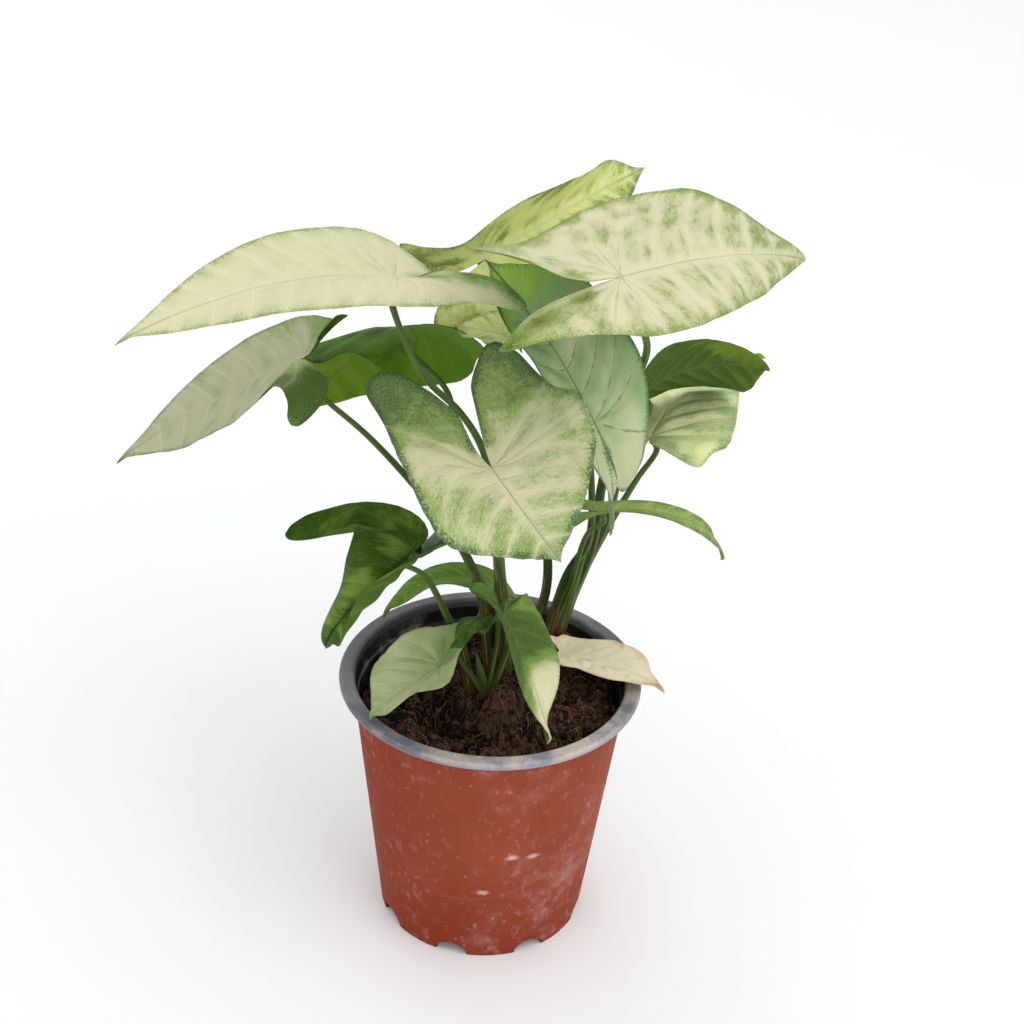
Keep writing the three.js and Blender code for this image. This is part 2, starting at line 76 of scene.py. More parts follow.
LEAVES = dict(
    top_left=Leaf(
        base=(-41, -8, 285), turn=(223, -20, 7), length=114, width=(25, 24), lobe=(38, 39),
        spread=(30, 27), full=1.0, open=0.2, fold=(15, 25), cup=(-45, 10), lift=(35, 0), droop=35, back=20,
        twist=-25, sweep=-10,
        tuft="centre", root=(4, 11), thick=(2.3, 1.1),
        route=((0, 9, 165), (-6, 6, 206), (-16, 1, 227), (-27, -1, 239), (-34, -8, 254))),
    left=Leaf(
        base=(-77, 10, 241), turn=(136, 33, 4), length=105, width=(24, 20), lobe=(31, 25), spread=(18, 15),
        full=1.0, open=0.7, fold=(-45, 45), cup=(40, 10), lift=(-100, 60), droop=20, back=25, twist=-60,
        sweep=35,
        tuft="centre", root=(0, 11), thick=(2.5, 1.0),
        route=((-7, 12, 146), (-18, 21, 163), (-32, 19, 183), (-51, 14, 208), (-68, 10, 226))),
    top_right=Leaf(
        base=(39, -12, 291), turn=(37, 0, 29), length=118, width=(40, 25), lobe=(52, 58), spread=(25, 14),
        full=1.1, open=0.4, fold=(-20, 15), cup=(-5, -55), lift=(25, -35), droop=35, back=-20, twist=35,
        sweep=5,
        tuft="right", root=(24, 36), thick=(2.4, 1.2),
        route=((32, 31, 132), (38, 30, 154), (40, 23, 188), (45, 25, 218), (53, 27, 243))),
    top_back=Leaf(
        base=(-9, 64, 261), turn=(43, -15, 52), length=97, width=(26, 26), lobe=(39, 39), spread=(14, 13),
        full=1.1, open=0.8, fold=(55, 20), cup=(30, -5), lift=(-45, 5), droop=20, back=-10, twist=0,
        sweep=-5,
        tuft="back", root=(14, 33), thick=(2.2, 1.1),
        route=((21, 38, 127), (19, 42, 153), (7, 48, 195), (-3, 54, 236))),
    left_inner=Leaf(
        base=(-41, 38, 243), turn=(119, 28, 4), length=90, width=(36, 37), lobe=(38, 39), spread=(22, 22),
        full=0.9, open=0.7, fold=(0, -5), cup=(-30, -75), lift=(-30, 0), droop=45, back=20, twist=15,
        sweep=20,
        tuft="centre", root=(2, 14), thick=(2.2, 1.1),
        route=((-4, 13, 141), (-12, 14, 157), (-19, 20, 191), (-21, 24, 222))),
    upright=Leaf(
        base=(34, 0, 226), turn=(160, -60, -38), length=74, width=(23, 30), lobe=(40, 40), spread=(15, 12),
        full=1.5, open=0.2, fold=(40, -10), cup=(20, -5), lift=(-20, -40), droop=5, back=5, twist=-10,
        sweep=15,
        tuft="right", root=(22, 33), thick=(2.3, 1.1), route=((29, 28, 141), (36, 20, 163), (35, 12, 194))),
    front=Leaf(
        base=(-3, -57, 237), turn=(-76, -11, 13), length=52, width=(40, 34), lobe=(54, 51),
        spread=(29, 37), full=1.5, open=0.6, fold=(20, 35), cup=(25, -15), lift=(55, 25), droop=55,
        back=-10, twist=10, sweep=20,
        tuft="centre", root=(6, 9), thick=(2.2, 1.1), route=((4, 0, 144), (1, -14, 174), (-1, -34, 211))),
    right_turned=Leaf(
        base=(52, 43, 215), turn=(48, -22, -70), length=57, width=(34, 32), lobe=(20, 16), spread=(8, 8),
        full=1.5, open=0.7, fold=(0, 0), cup=(40, -20), lift=(-15, -10), droop=85, back=20, twist=0,
        sweep=-20,
        tuft="right", root=(26, 38), thick=(2.2, 1.1), route=((36, 34, 140), (44, 34, 166), (49, 34, 196))),
    right=Leaf(
        base=(59, 51, 193), turn=(73, -13, -27), length=93, width=(32, 32), lobe=(16, 14), spread=(17, 21),
        full=0.8, open=0.6, fold=(10, -10), cup=(-15, -35), lift=(-10, 25), droop=40, back=5, twist=-5,
        sweep=-20,
        tuft="right", root=(27, 35), thick=(2.2, 1.1), route=((35, 37, 135), (46, 44, 158), (55, 50, 174))),
    right_narrow=Leaf(
        base=(39, 4, 186), turn=(-5, -15, 18), length=72, width=(4, 4), lobe=(12, 12), spread=(6, 6),
        full=1.1, open=0.7, fold=(20, 15), cup=(-5, 0), lift=(-10, -10), droop=105, back=0, twist=15,
        sweep=15,
        tuft="right", root=(22, 36), thick=(1.6, 0.9), route=((30, 26, 137), (35, 14, 169))),
    left_curled=Leaf(
        base=(-31, -22, 179), turn=(-92, -27, -58), length=64, width=(20, 23), lobe=(32, 33),
        spread=(25, 47), full=1.1, open=0.2, fold=(90, -20), cup=(18, -45), lift=(13, 73), droop=163,
        back=32, twist=-8, sweep=29,
        tuft="left", root=(-8, -3), thick=(2.0, 1.0),
        route=((-12, -3, 126), (-17, -5, 138), (-27, -15, 165))),
    back_narrow=Leaf(
        base=(2, 30, 131), turn=(180, -37, 21), length=55, width=(11, 11), lobe=(14, 14), spread=(7, 7),
        full=1.2, open=0.7, fold=(5, 25), cup=(-20, -10), lift=(-10, -10), droop=95, back=0, twist=-5,
        sweep=5,
        tuft="back", root=(12, 32), thick=(1.5, 0.8), route=((5, 30, 125),)),
    low_left=Leaf(
        base=(-20, -22, 129), turn=(203, 29, 13), length=34, width=(18, 19), lobe=(14, 22), spread=(8, 8),
        full=1.5, open=0.8, fold=(25, 35), cup=(-30, 10), lift=(50, 5), droop=5, back=-5, twist=5,
        sweep=10,
        tuft="front", root=(-3, -6), thick=(1.4, 0.8), route=((-10, -9, 119), (-15, -15, 129))),
    low_front=Leaf(
        base=(4, -22, 154), turn=(-50, 41, -2), length=52, width=(15, 15), lobe=(4, 14), spread=(8, 10),
        full=1.1, open=0.7, fold=(20, 45), cup=(-15, -10), lift=(-15, 0), droop=15, back=10, twist=-15,
        sweep=-10,
        tuft="front", root=(1, -4), thick=(1.6, 0.9), route=((7, -2, 128), (5, -10, 152))),
    dry=Leaf(
        base=(30, 19, 109), turn=(-34, -17, -2), length=52, width=(15, 16), lobe=(11, 4), spread=(5, 4),
        full=1.2, open=0.7, fold=(10, 15), cup=(-10, -10), lift=(45, -10), droop=20, back=-15, twist=-5,
        sweep=-15,
        tuft="dry", root=(25, 21), thick=(1.0, 0.6), route=((28, 20, 103),)),
    small_inner=Leaf(
        base=(-1, 16, 252), turn=(178, -15, -8), length=19, width=(10, 11), lobe=(8, 8), spread=(6, 6),
        full=1.1, open=0.7, fold=(10, 20), cup=(-15, -10), lift=(-10, -10), droop=20, back=0, twist=0,
        sweep=0,
        tuft="centre", root=(7, 14), thick=(1.6, 0.8), route=((4, 12, 138), (0, 14, 182), (0, 16, 225))),
    small_low=Leaf(
        base=(-6, -19, 149), turn=(-126, 9, 17), length=18, width=(7, 8), lobe=(4, 4), spread=(4, 4),
        full=1.1, open=0.7, fold=(5, -5), cup=(-20, -25), lift=(-10, -10), droop=20, back=0, twist=0,
        sweep=0,
        tuft="front", root=(-1, -5), thick=(1.2, 0.7), route=((2, -3, 129), (1, -8, 142))),
)
# Young shoots that haven't opened: clump, root, tip and radius at the soil.
SHOOTS = (
    ("centre", (7, 13), (10, 8, 134), 1.8),
    ("front", (-2, -5), (-6, -6, 124), 1.5),
    ("right", (26, 35), (36, 24, 158), 1.9),
)

# How the blades are coloured. ground, mottle, deep, below, blotch and specks name leaf colours:
# the light ground of the face, the mottling over it, the deepest of it, the underside, its
# blotches and the specks along the edge. amount is how much of the face is mottled, clouds and
# streaks how unevenly it lies, brush how far it breaks up into fine strokes, crisp how sharp its
# border is, margin how green the edge is, speckle how many specks lie along it, halo how pale
# the veins are, line how dark the fine line in them is, reach how many times further than usual
# it runs, gloss how much the face mirrors, and wavy how many times more than usual the edge
# rises and falls.
PLAIN = dict(
    ground="lime", mottle="leaf", deep="forest", below="olive", blotch="leaf", specks="edge",
    amount=0.3, clouds=0.5, streaks=0.5, brush=0.5, crisp=0.3, margin=0.3, speckle=0.3, halo=0.5,
    line=0.3, reach=1, gloss=0.14, wavy=1,
)
LOOKS = dict(
    top_left=dict(
        ground="cream", amount=0.02, clouds=0.25, streaks=0.25, brush=0.7, crisp=0.35, margin=0.45,
        speckle=0.4, specks="olive", halo=0.7, line=0.5, gloss=0.1),
    left=dict(
        ground="ash", below="forest", blotch="grass", amount=0.08, clouds=0.8, streaks=0.4, brush=0.6,
        margin=0.15, speckle=0.25, halo=0.3, line=0.1, gloss=0.08),
    top_right=dict(
        ground="cream", mottle="olive", blotch="lime", amount=0.28, clouds=0.5, streaks=0.6, brush=0.8,
        crisp=0.3, margin=0.45, speckle=0.8, specks="leaf", halo=0.8, line=0.5),
    top_back=dict(
        amount=0.28, clouds=0.8, streaks=0.8, brush=1.0, crisp=0.5, margin=0.25, speckle=0.5, halo=0.7,
        line=0.1),
    left_inner=dict(
        ground="grass", mottle="forest", below="grass", blotch="olive", amount=0.4, margin=0.1,
        speckle=0.02, halo=0.05, line=0.2, gloss=0.03, wavy=1.5),
    # The upright leaf's deepest mottling is a bright green that its last patch lays on the tip: painted
    # light shining through the tip.
    upright=dict(
        ground="sage", mottle="jade", deep="painted_glow", below="jade", blotch="sage", amount=0.72, clouds=0.7,
        streaks=0.25, brush=0.3, crisp=0.1, margin=0.3, speckle=0.6, halo=0.12, line=1.0, reach=2.4,
        gloss=0.08),
    front=dict(
        ground="cream", deep="edge", amount=0.4, clouds=0.5, streaks=0.35, brush=1.0, crisp=0.3,
        margin=0.6, speckle=0.8, halo=0.6, line=0.6, gloss=0.1),
    right_turned=dict(
        ground="leaf", mottle="forest", below="moss", blotch="olive", amount=0.6, halo=0.1, gloss=0.06,
        wavy=1.6),
    # The leaf on the right has the pale ground: painted light that makes its face lighter than its own
    # colour.
    right=dict(
        ground="pale", mottle="jade", amount=0.36, clouds=1.1, streaks=0.25, brush=0.9, margin=0.2,
        speckle=0.4, specks="olive", halo=0.4, line=0.1, gloss=0.08, wavy=1.6),
    right_narrow=dict(amount=0.95, clouds=0.6, streaks=0.3, crisp=0, halo=0.2),
    left_curled=dict(
        ground="leaf", mottle="forest", below="moss", amount=0.85, clouds=1.2, streaks=0.6, brush=0.8,
        margin=0.1, speckle=0.1, halo=0.03, line=0.2, gloss=0.05, wavy=2.5),
    back_narrow=dict(ground="grass", mottle="leaf", below="grass", amount=0.3, halo=0.1, gloss=0.06),
    low_left=dict(
        ground="sage", below="leaf", blotch="olive", amount=0.28, clouds=0.6, streaks=0.2, brush=0.3,
        crisp=0.1, margin=0.15, speckle=0.05, halo=0.1, line=0.45, wavy=1.3),
    low_front=dict(
        ground="cream", mottle="grass", below="forest", amount=0.85, clouds=0.4, streaks=0.3, brush=0.35,
        crisp=0.4, halo=0.05, margin=0.3, speckle=0.1, line=0, gloss=0.05, wavy=2),
    small_inner=dict(amount=0.4),
    small_low=dict(ground="grass", mottle="forest", amount=0.6, halo=0.05, gloss=0.06),
)
# Patches on single blades: place along the midrib and across it (left is plus), both as parts
# of the length and the half width, radius in millimetres and how much greener (or, if minus,
# paler) the face is there. The last table gives the same for the blotches underneath, which are painted
# light: a glow of light shining through the blade, and less of it where minus.
PATCHES = dict(
    top_left=(
        (1.0, 0, 5, 1.2), (-0.4, 0.12, 6, 1.2), (-0.72, 0.4, 7, 1.4), (-1.0, 0.85, 8, 1.4),
        (-1.0, -0.6, 13, 1.3)),
    top_back=((0.8, 0, 22, 0.4),),
    left=((-0.5, 0.8, 14, 2.2), (-0.9, 0.2, 12, 2.0), (-0.3, -0.8, 14, 0.6)),
    top_right=(
        (-0.9, 0.6, 18, 0.35), (0.8, 0.3, 35, 0.25), (-0.35, -0.08, 6, 0.8), (-0.7, -0.22, 7, 1.0),
        (-1.0, -0.45, 8, 1.0)),
    front=(
        (-0.8, 0.9, 22, 1.3), (-0.75, -0.9, 22, 1.3), (0.05, -0.6, 12, -0.5), (0.95, -0.1, 7, 0.7),
        (0.1, 0.1, 18, -0.3), (0.55, -0.4, 13, 0.3)),
    # The upright leaf's last spot greens its tip towards the bright tip colour: painted light shining
    # through the tip.
    upright=((0.45, -0.35, 6, -1.8), (-0.6, 0.5, 20, -0.9), (-0.7, -0.5, 16, -0.9), (0.9, 0.1, 17, 1.3)),
    left_curled=((0.5, -0.1, 6, -1.2), (0.1, -0.5, 9, -0.5), (-0.6, -0.7, 10, -0.5)),
    low_left=((-0.3, 0.2, 9, 0.5), (-0.9, -0.4, 9, 0.6)),
    low_front=(
        (0.24, 0.45, 8, 1.2), (0.6, 0.45, 10, -1.6), (0.92, 0.1, 9, -1.5), (0.1, -0.7, 14, 1.1),
        (0.45, -0.7, 9, 0.7)),
)
# Painted light: these underside blotches stand for light shining through the blade, a painted glow.
UNDER_GLOWS = dict(
    left_inner=((0.6, 0.5, 26, 1.0), (0.2, -0.5, 30, -0.8)),
    right_turned=((0.8, -0.4, 11, 1.1), (0.3, 0.2, 24, -0.6)),
)


# ---- settings ----------------------------------------------------------------------------
def tone(*shade):
    """A screen colour, 0 to 255, as the linear light that shaders work with."""
    part = np.array(shade) / 255
    light = np.where(part < 0.04045, part / 12.92, ((part + 0.055) / 1.055) ** 2.4)
    return tuple(float(channel) for channel in light)


def colour(name, description, *shade):
    """A colour setting with its default given as a screen colour."""
    return FloatVectorProperty(
        name=name, description=description, subtype="COLOR", size=3, min=0, max=1, default=tone(*shade))


def length(name, description, millimetres):
    """A length setting, kept in metres as Blender shows lengths."""
    return FloatProperty(
        name=name, description=description, subtype="DISTANCE", unit="LENGTH", min=0,
        default=millimetres * MM)


def in_mm(group):
    """A group's settings, with its lengths in millimetres."""
    values = {name: getattr(group, name) for name in type(group).__annotations__}
    for name in values:
        if group.bl_rna.properties[name].subtype == "DISTANCE":
            values[name] /= MM
    return SimpleNamespace(**values)


class PotSettings(bpy.types.PropertyGroup):
    height: length("Height", "From the foot to the top of the rim", 111)
    rim_radius: length("Rim radius", "Outer edge of the rolled rim", 60)
    rim_depth: length("Rim depth", "Height of the rim's outer edge", 3)
    mouth_radius: length("Mouth radius", "Inside of the rim", 53.8)
    base_radius: length("Foot radius", "Outside of the wall at the foot", 41.6)
    wall: length("Wall", "Thickness of the wall", 1.4)
    notch_width: length("Notch width", "Width of an arch in the foot", 13)
    notch_height: length("Notch height", "Height of an arch in the foot", 5.5)
    notches: IntProperty(name="Notches", description="Arches round the foot", default=8, min=3)
    drain_holes: IntProperty(name="Drain holes", description="Holes in the floor", default=6, min=0)
    outside: colour("Outside", "Terracotta plastic", 152, 70, 46)
    dust: colour("Dust", "Pale lime and dust on the outside", 212, 178, 174)
    rim: colour("Rim", "Grey plastic of the rim", 156, 153, 167)
    dirt: colour("Dirt", "Dry sandy dirt on the rim", 204, 188, 174)
    inside: colour("Inside", "Dark inside of the wall", 30, 30, 31)


class SoilSettings(bpy.types.PropertyGroup):
    level: length("Level", "Height of the soil at the wall", 97)
    fibres: IntProperty(name="Fibres", description="Curled coir fibres", default=2200, min=0)
    crumbs: IntProperty(name="Crumbs", description="Loose crumbs of peat", default=2600, min=0)
    dark: colour("Peat", "Moist peat", 20, 13, 10)
    brown: colour("Coir", "Drier coir", 100, 70, 53)
    fibre: colour("Fibre", "Coir fibres", 176, 128, 98)


class BladeSettings(bpy.types.PropertyGroup):
    thickness: length("Thickness", "Blade between the ribs", 0.5)
    rib: length("Midrib", "How far the midrib stands out below", 0.9)
    puff: length("Puff", "Swelling of the face between two side veins", 1.1)
    wave: length("Wave", "Rise and fall of the edge", 1.3)
    cream: colour("Cream", "Pale ground of the variegated leaves", 216, 212, 172)
    lime: colour("Yellow green", "Light ground of younger leaves", 230, 233, 152)
    # Painted light: lighter than the leaf's own ground, standing for light on the leaf on the right where
    # it lies in shade.
    pale: colour("Pale green", "Light ground of the leaf on the right", 246, 250, 184)
    ash: colour("Ash green", "Ground of the leaf on the left", 184, 184, 150)
    sage: colour("Grey green", "Ground of shaded leaves", 190, 196, 152)
    leaf: colour("Leaf green", "Green of the mottling", 120, 150, 62)
    grass: colour("Fresh green", "Translucent leaves seen from below", 92, 132, 26)
    # Painted light: a bright young green that stands for light shining through the upright leaf's tip.
    painted_glow: colour("Young green", "Tip of the upright leaf", 156, 200, 66)
    jade: colour("Blue green", "Green of plain leaves", 134, 168, 112)
    moss: colour("Moss green", "Undersides of shaded leaves", 74, 100, 38)
    forest: colour("Dark green", "Old leaves and deep mottling", 48, 78, 18)
    edge: colour("Leaf edge", "Blue green specks along the edge", 62, 92, 56)
    olive: colour("Olive", "Undersides", 116, 138, 36)
    vein: colour("Vein", "Midribs and side veins", 224, 220, 186)
    dry: colour("Dried leaf", "Pale dead tissue", 250, 236, 208)
    dry_edge: colour("Dried edge", "Browned edge of the dried leaf", 206, 160, 108)


class StalkSettings(bpy.types.PropertyGroup):
    sheath: FloatProperty(
        name="Sheath", description="How deep the groove between the sheath's wings is",
        default=0.35, min=0, max=0.6)
    green: colour("Green", "Leaf stalks", 66, 88, 34)
    light: colour("Light green", "Upper ends of the stalks", 92, 118, 56)
    brown: colour("Brown", "Reddish brown of old stalks", 98, 66, 44)
    straw: colour("Straw", "Dry edges of the sheaths", 170, 142, 108)


class StageSettings(bpy.types.PropertyGroup):
    floor: colour("Floor", "Table under the pot", 252, 252, 252)
    sky: FloatProperty(name="Sky", description="Light from all round", default=0.9, min=0)
    window: FloatProperty(
        name="Window", description="Large soft light", default=5.6, min=0, unit="POWER")


# ---- mathematics of the shapes -----------------------------------------------------------
def step(low, high, x):
    """0 up to low, 1 from high, and 3t^2 - 2t^3 between. With high below low it falls."""
    t = np.clip((x - low) / (high - low), 0, 1)
    return t * t * (3 - 2 * t)


def bell(distance, width):
    """exp(-(distance / width)^2), which is 1 in the middle and falls to 0."""
    return np.exp(-((distance / width) ** 2))


def noise(points, size, seed=0.0):
    """Value noise from -1 to 1: a random number at every whole multiple of size, joined by
    smooth steps along each axis. points has one or more coordinates in its last axis."""
    place = np.asarray(points, float) / size
    cell = np.floor(place)
    part = place - cell
    part = part * part * (3 - 2 * part)
    keys = np.array((127.1, 311.7, 74.7))[: place.shape[-1]]
    total = 0
    for corner in np.ndindex(*(2,) * place.shape[-1]):
        weight = np.prod(np.where(corner, part, 1 - part), axis=-1)
        number = np.sin((cell + corner) @ keys + seed) * 43758.5453
        total = total + weight * (number - np.floor(number))
    return 2 * total - 1


def stack(*parts):
    """Coordinates, stretched to one shape, as points."""
    return np.stack(np.broadcast_arrays(*parts), axis=-1)


def unit(vectors):
    """Vectors divided by their lengths."""
    return vectors / np.linalg.norm(vectors, axis=-1, keepdims=True)


def travelled(path):
    """Distance along a path from its start to each of its points."""
    return np.concatenate([[0], np.cumsum(np.linalg.norm(np.diff(path, axis=0), axis=1))])


def spline(knots, t):
    """Catmull-Rom curve through the knots, evenly spaced in t from 0 to 1: on each stretch the
    cubic whose end slopes are half the difference of the neighbouring knots."""
    last = len(knots) - 1
    place = t * last
    i = np.minimum(np.floor(place).astype(int), last - 1)
    w = (place - i)[:, None]
    before, here = knots[np.maximum(i - 1, 0)], knots[i]
    there, after = knots[i + 1], knots[np.minimum(i + 2, last)]
    slope_here, slope_there = (there - before) / 2, (after - here) / 2
    cubic = 2 * here - 2 * there + slope_here + slope_there
    square = 3 * there - 3 * here - 2 * slope_here - slope_there
    return ((cubic * w + square) * w + slope_here) * w + here


def smooth_path(knots, count):
    """Curve through the knots, cut into count equal lengths. Each stretch is a cubic whose end
    slopes weigh the neighbouring knots by the square roots of their distances."""
    knots = np.asarray(knots, float)
    ends = np.concatenate([[2 * knots[0] - knots[1]], knots, [2 * knots[-1] - knots[-2]]])
    gaps = np.sqrt(np.linalg.norm(np.diff(ends, axis=0), axis=1))[:, None]
    steps = np.diff(ends, axis=0) / gaps
    slopes = steps[:-1] - (ends[2:] - ends[:-2]) / (gaps[:-1] + gaps[1:]) + steps[1:]
    w = np.linspace(0, 1, 40, endpoint=False)[:, None]
    p, q = knots[:-1, None], knots[1:, None]
    a, b = slopes[:-1, None] * gaps[1:-1, None], slopes[1:, None] * gaps[1:-1, None]
    curve = p + a * w + (3 * (q - p) - 2 * a - b) * w**2 + (2 * (p - q) + a + b) * w**3
    curve = np.concatenate([curve.reshape(-1, 3), knots[-1:]])
    far = travelled(curve)
    even = np.linspace(0, far[-1], count + 1)
    return stack(*(np.interp(even, far, axis) for axis in curve.T))


def bend(points, out, up, angle, length):
    """Rolls points round a cylinder. Past the base line they turn towards up, until they have
    turned by the whole angle at the given length, and from there they run straight on."""
    if angle == 0:
        return points
    out, up = np.asarray(out, float), np.asarray(up, float)
    radius = length / math.radians(angle)
    along, high = points @ out, points @ up
    turn = np.clip(along, 0, length) / radius
    rest = np.maximum(along - length, 0)
    new_along = (radius - high) * np.sin(turn) + rest * np.cos(turn)
    new_high = radius - (radius - high) * np.cos(turn) + rest * np.sin(turn)
    past = (along > 0)[..., None]
    along_by, high_by = (new_along - along)[..., None], (new_high - high)[..., None]
    return points + np.where(past, along_by, 0) * out + np.where(past, high_by, 0) * up


def turned(points, turn):
    """Points rolled about X, pitched about Y and then turned about Z, by degrees."""
    heading, pitch, roll = (math.radians(angle) for angle in turn)
    matrix = Matrix.Rotation(heading, 3, "Z") @ Matrix.Rotation(pitch, 3, "Y")
    return points @ np.array(matrix @ Matrix.Rotation(roll, 3, "X")).T


def grid_faces(rows, columns, wrap=False, flip=False):
    """Two triangles for every cell of a grid of points that are numbered row by row. With wrap
    the last column joins the first, and flip turns the faces over."""
    i, j = np.meshgrid(np.arange(rows - 1), np.arange(columns - (not wrap)), indexing="ij")
    a, b = i * columns + j, i * columns + (j + 1) % columns
    c, d = a + columns, b + columns
    faces = np.stack([a, c, d, a, d, b], axis=-1).reshape(-1, 3)
    return faces[:, ::-1] if flip else faces


def copies(one, each, count):
    """The faces of one small shape repeated for count shapes of each so many points."""
    return (one + each * np.arange(count)[:, None, None]).reshape(-1, 3)


# ---- meshes ------------------------------------------------------------------------------
def link(name, data):
    """A new object that holds the data, in the scene."""
    item = bpy.data.objects.new(name, data)
    bpy.context.scene.collection.objects.link(item)
    return item


def add_piece(name, shape, materials, finish, node=None, slots=0):
    """Makes a piece from points in millimetres, triangles and values: a number or a pair for
    every point, which the face corners keep for the materials. Points at one place become one,
    and triangles that this closes up are left out. The piece stands for the node."""
    points, faces, values = shape
    keys, index = np.unique(np.round(points, 4) + 0.0, axis=0, return_inverse=True)
    merged = index.reshape(-1)[faces]
    whole = (merged != np.roll(merged, 1, axis=1)).all(axis=1)
    corners = faces[whole].ravel()
    mesh = bpy.data.meshes.new(name)
    mesh.from_pydata(keys * MM, [], merged[whole])
    for title, numbers in values.items():
        numbers = np.ascontiguousarray(numbers[corners], dtype=np.float32)
        if numbers.ndim == 2:
            mesh.uv_layers.new(name=title).data.foreach_set("uv", numbers.ravel())
        else:
            mesh.attributes.new(title, "FLOAT", "CORNER").data.foreach_set("value", numbers)
    for material in materials:
        mesh.materials.append(material)
    if np.ndim(slots):
        mesh.polygons.foreach_set("material_index", slots[whole].astype(np.int32))
    mesh.shade_smooth()
    mesh.validate()
    piece = link(name, mesh)
    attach(piece, "root")
    if node:
        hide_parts(node)
    return piece


def join(parts):
    """Several (points, faces, values) as one, with the faces' numbers moved along."""
    points = np.concatenate([part[0] for part in parts])
    starts = np.cumsum([0] + [len(part[0]) for part in parts[:-1]])
    faces = np.concatenate([part[1] + start for part, start in zip(parts, starts)])
    values = {key: np.concatenate([part[2][key] for part in parts]) for key in parts[0][2]}
    return points, faces, values


# ---- materials ---------------------------------------------------------------------------
def give(socket, value):
    """Joins an output to a socket, or sets the socket to a constant."""
    if isinstance(value, Wire):
        value.tree.links.new(value.socket, socket)
    elif socket.type == "RGBA":
        socket.default_value = (*value[:3], 1)
    else:
        socket.default_value = value


def add_node(tree, kind, inputs, *outputs, **settings):
    """Adds a node and returns its first output, or those that are named."""
    node = tree.nodes.new("ShaderNode" + kind)
    for name, value in settings.items():
        setattr(node, name, value)
    for name, value in inputs.items():
        give(node.inputs[name], value)
    wires = [Wire(tree, node.outputs[name]) for name in outputs or (0,)]
    return wires if outputs[1:] else wires[0]


class Wire:
    """An output of a node. Its sums, products, steps and patterns are further nodes."""

    def __init__(self, tree, socket):
        self.tree, self.socket = tree, socket

    def math(self, operation, *values):
        return add_node(self.tree, "Math", dict(enumerate((self, *values))), operation=operation)

    def __add__(self, other):
        return self.math("ADD", other)

    def __sub__(self, other):
        return self.math("SUBTRACT", other)

    def __mul__(self, other):
        return self.math("MULTIPLY", other)

    def __abs__(self):
        return self.math("ABSOLUTE")

    def centred(self, gain):
        """gain times how far a pattern from 0 to 1 is above its middle."""
        return (self - 0.5) * gain

    def step(self, low, high, start=0.0, end=1.0):
        """start below low, end above high and a smooth step between."""
        inputs = {"Value": self, "From Min": low, "From Max": high, "To Min": start, "To Max": end}
        return add_node(self.tree, "MapRange", inputs, interpolation_type="SMOOTHSTEP")

    def mix(self, first, second):
        """The first colour where this is 0 and the second where it is 1."""
        return add_node(self.tree, "Mix", {0: self, 6: first, 7: second}, 2, data_type="RGBA")

    def parts(self):
        return add_node(self.tree, "SeparateXYZ", {0: self}, 0, 1, 2)

    def far(self):
        """The length of a vector."""
        return add_node(self.tree, "VectorMath", {0: self}, "Value", operation="LENGTH")

    def stretch(self, scale, place=(0, 0, 0)):
        return add_node(self.tree, "Mapping", {"Vector": self, "Scale": scale, "Location": place})

    def noise(self, scale, detail=2.0, rough=0.5, warp=0.0):
        inputs = {"Vector": self, "Scale": scale, "Detail": detail, "Roughness": rough, "Distortion": warp}
        return add_node(self.tree, "TexNoise", inputs)

    def cells(self, scale, feature="F1"):
        """Distance to the nearest point of a Voronoi pattern, or to its cell walls."""
        return add_node(self.tree, "TexVoronoi", {"Vector": self, "Scale": scale}, feature=feature)


class Paint:
    """A material, with the coordinates and values that its patterns start from."""

    def __init__(self, name, gloss):
        self.material = bpy.data.materials.new(name)
        self.material.use_nodes = True
        self.tree = self.material.node_tree
        self.inputs = self.tree.nodes["Principled BSDF"].inputs
        self.inputs["Specular IOR Level"].default_value = gloss

    def vector(self, x, y, z=0.0):
        return add_node(self.tree, "CombineXYZ", {0: x, 1: y, 2: z})

    def uv(self, name):
        return add_node(self.tree, "UVMap", {}, uv_map=name)

    def value(self, name):
        return add_node(self.tree, "Attribute", {}, "Fac", attribute_name=name)

    def place(self):
        """The piece's own coordinates, in metres."""
        return add_node(self.tree, "TexCoord", {}, "Object")

    def finish(self, skin, roughness, *heights):
        """Joins colour, roughness and relief to the shader. heights are pairs of a pattern and
        its height in millimetres, and the relief is their sum."""
        first, *rest = (height * (size * MM) for height, size in heights)
        bump = add_node(self.tree, "Bump", {"Height": sum(rest, first), "Distance": 1.0})
        for name, value in {"Base Color": skin, "Roughness": roughness, "Normal": bump}.items():
            give(self.inputs[name], value)
        return self.material


def shaded(shade, part):
    """A colour with each channel times the part."""
    return tuple(part * channel for channel in shade)


# ---- leaf blades -------------------------------------------------------------------------
LOBE_CREASE = 105  # degrees from the tip to the line that the basal lobes bend about
WAVES = 3  # along each half of a blade
FAN = 0.5  # radians between the veins that leave the base
LARGE = 70  # a half longer than this gets the finer of the two grids of rows and columns
FINE_GRID, COARSE_GRID = (35, 85), (21, 53)


def blade_outline(leaf, k, t):
    """Outline of one half of a flat blade, from the tip at t 0 round the edge to the notch
    beside the stalk at t 1: a spline through eleven knots set by the half's own sizes."""
    long, full, wide = leaf.length, leaf.full, leaf.width[k]
    lobe, spread, notch = leaf.lobe[k], leaf.spread[k], leaf.spread[k] * leaf.open
    knots = (
        (long, 0), (0.94 * long, 0.06 * wide * full), (0.82 * long, 0.27 * wide * full),
        (0.62 * long, min(0.6 * full, 0.95) * wide),
        (0.36 * long, min(0.616 + 0.264 * full, 1) * wide), (0.06 * long, wide),
        (-0.42 * lobe, 0.56 * wide + 0.42 * spread), (-0.86 * lobe, 0.1 * wide + 0.98 * spread),
        (-lobe, 0.8 * spread), (-0.72 * lobe, 0.36 * notch), (-0.3 * lobe, 0.08 * notch),
    )
    return spline(np.array(knots, float), t)


